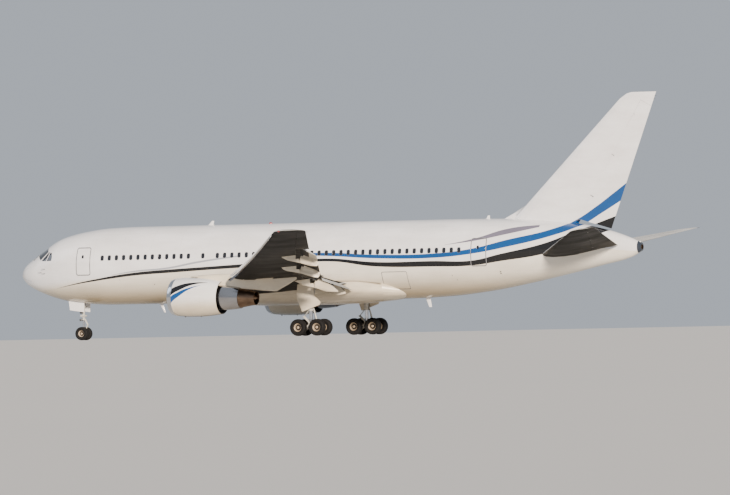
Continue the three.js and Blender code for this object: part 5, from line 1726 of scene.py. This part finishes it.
    def tip_lamps(self) -> None:
        """Builds the coloured lamps in the wing tips."""
        sweep = math.radians(55)
        for side, finish in ((Side.LEFT, RED_LAMP), (Side.RIGHT, GREEN_LAMP)):
            centre = (30.66, side.value * 23.56, 1.93)
            self.dome(f"tip_lamp_{side.word}", centre, side.value * sweep, (0.26, 0.09, 0.07), finish)

    def body_lamps(self) -> None:
        """Builds the beacons and the tail lamp."""
        self.dome("beacon_top", (19.2, 0, 2.70), 0, (0.143, 0.11, 0.099), RED_LAMP)
        self.dome("beacon_belly", (22.6, 0, -3.01), 0, (0.143, 0.11, 0.099), RED_LAMP)
        self.dome("tail_lamp", (47.1, 0, 0.86), 0, (0.065, 0.05, 0.045), LAMP)

    def build(self) -> None:
        """Builds all the fittings."""
        self.antennas()
        self.probes()
        self.bays()
        self.wicks()
        self.tip_lamps()
        self.root_lamps()
        self.body_lamps()


# Studio


@dataclass
class Studio:
    """Pale floor, soft light and a camera at the floor off the port side, a little behind the wing.

    azimuth is how far aft of abeam the camera stands. Its picture is width_px wide and shows a metre at the
    aim as scale_px. off_centre is how far right and up of the aim its middle is, in metres. Each sun has its
    name, its place in degrees from straight aft towards port, its height over the floor in degrees, its
    strength, its colour and how wide it looks in degrees, which softens the shadows.
    """

    azimuth: float = math.radians(24.41)
    roll: float = math.radians(-1.15)
    distance: float = 416.0
    height: float = 0.08
    scale_px: float = 28.82
    width_px: float = 730.0
    sensor: float = 36.0
    far_clip: float = 2000.0
    aim: Row = (24.0, 0.0, 0.0)
    off_centre: Row = (1.078, 0.45)
    floor_radius: float = 900.0
    sky: str = "#dfe7f2"
    sky_strength: float = 0.62
    suns: tuple[tuple, ...] = (("key", 56, 16, 7.6, "#ffeedb", 6), ("fill", 160, 30, 0.4, "#e6eeff", 30))

    def floor(self) -> None:
        """Lays a round floor under the aircraft."""
        bm = bmesh.new()
        bmesh.ops.create_circle(bm, cap_ends=True, segments=96, radius=self.floor_radius)
        floor = new_object(bm, "floor")
        coated(floor, STUDIO_FLOOR)

    def light(self) -> None:
        """Sets the even light of the sky and the far lamps."""
        world = bpy.data.worlds.new("studio")
        world.use_nodes = True
        inputs = world.node_tree.nodes["Background"].inputs
        inputs[0].default_value, inputs[1].default_value = linear(self.sky), self.sky_strength
        bpy.context.scene.world = world
        for name, azimuth, height, power, colour, soft in self.suns:
            lamp = bpy.data.lights.new(name, "SUN")
            lamp.energy = power
            lamp.angle = math.radians(soft)
            lamp.color = linear(colour)[:3]
            a, e = math.radians(azimuth), math.radians(height)
            to_lamp = Vector((math.cos(a) * math.cos(e), -math.sin(a) * math.cos(e), math.sin(e)))
            linked(name, lamp).rotation_euler = to_lamp.to_track_quat("Z", "Y").to_euler()

    def camera(self) -> None:
        """Sets the long lens camera at floor level."""
        lens = bpy.data.cameras.new("camera")
        lens.sensor_width = self.sensor
        lens.lens = self.scale_px * self.distance * self.sensor / self.width_px
        lens.clip_end = self.far_clip
        made = linked("camera", lens)
        right = Vector((math.cos(self.azimuth), math.sin(self.azimuth), 0))
        target = Model.at(*self.aim) + right * self.off_centre[0] + UP * self.off_centre[1]
        made.location = target + right.cross(UP) * self.distance
        made.location.z = self.height
        look = (target - made.location).to_track_quat("-Z", "Y")
        made.rotation_euler = (look.to_matrix().to_4x4() @ Matrix.Rotation(self.roll, 4, "Z")).to_euler()
        bpy.context.scene.camera = made

    def build(self) -> None:
        """Builds floor, light and camera."""
        self.floor()
        self.light()
        self.camera()


def main() -> None:
    """Builds the aircraft sub-assembly by sub-assembly and reports each piece."""
    logging.basicConfig(level=logging.INFO, format="%(message)s")
    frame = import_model()
    fuselage = Fuselage()
    fuselage.build()
    Surfaces(frame=frame).build()
    for side in Side:
        Engine(side).build()
        MainGear(side).build()
    NoseGear().build()
    Fittings(fuselage, frame).build()
    Studio().build()
    LOG.info("all pieces built")


if __name__ == "__main__":
    main()
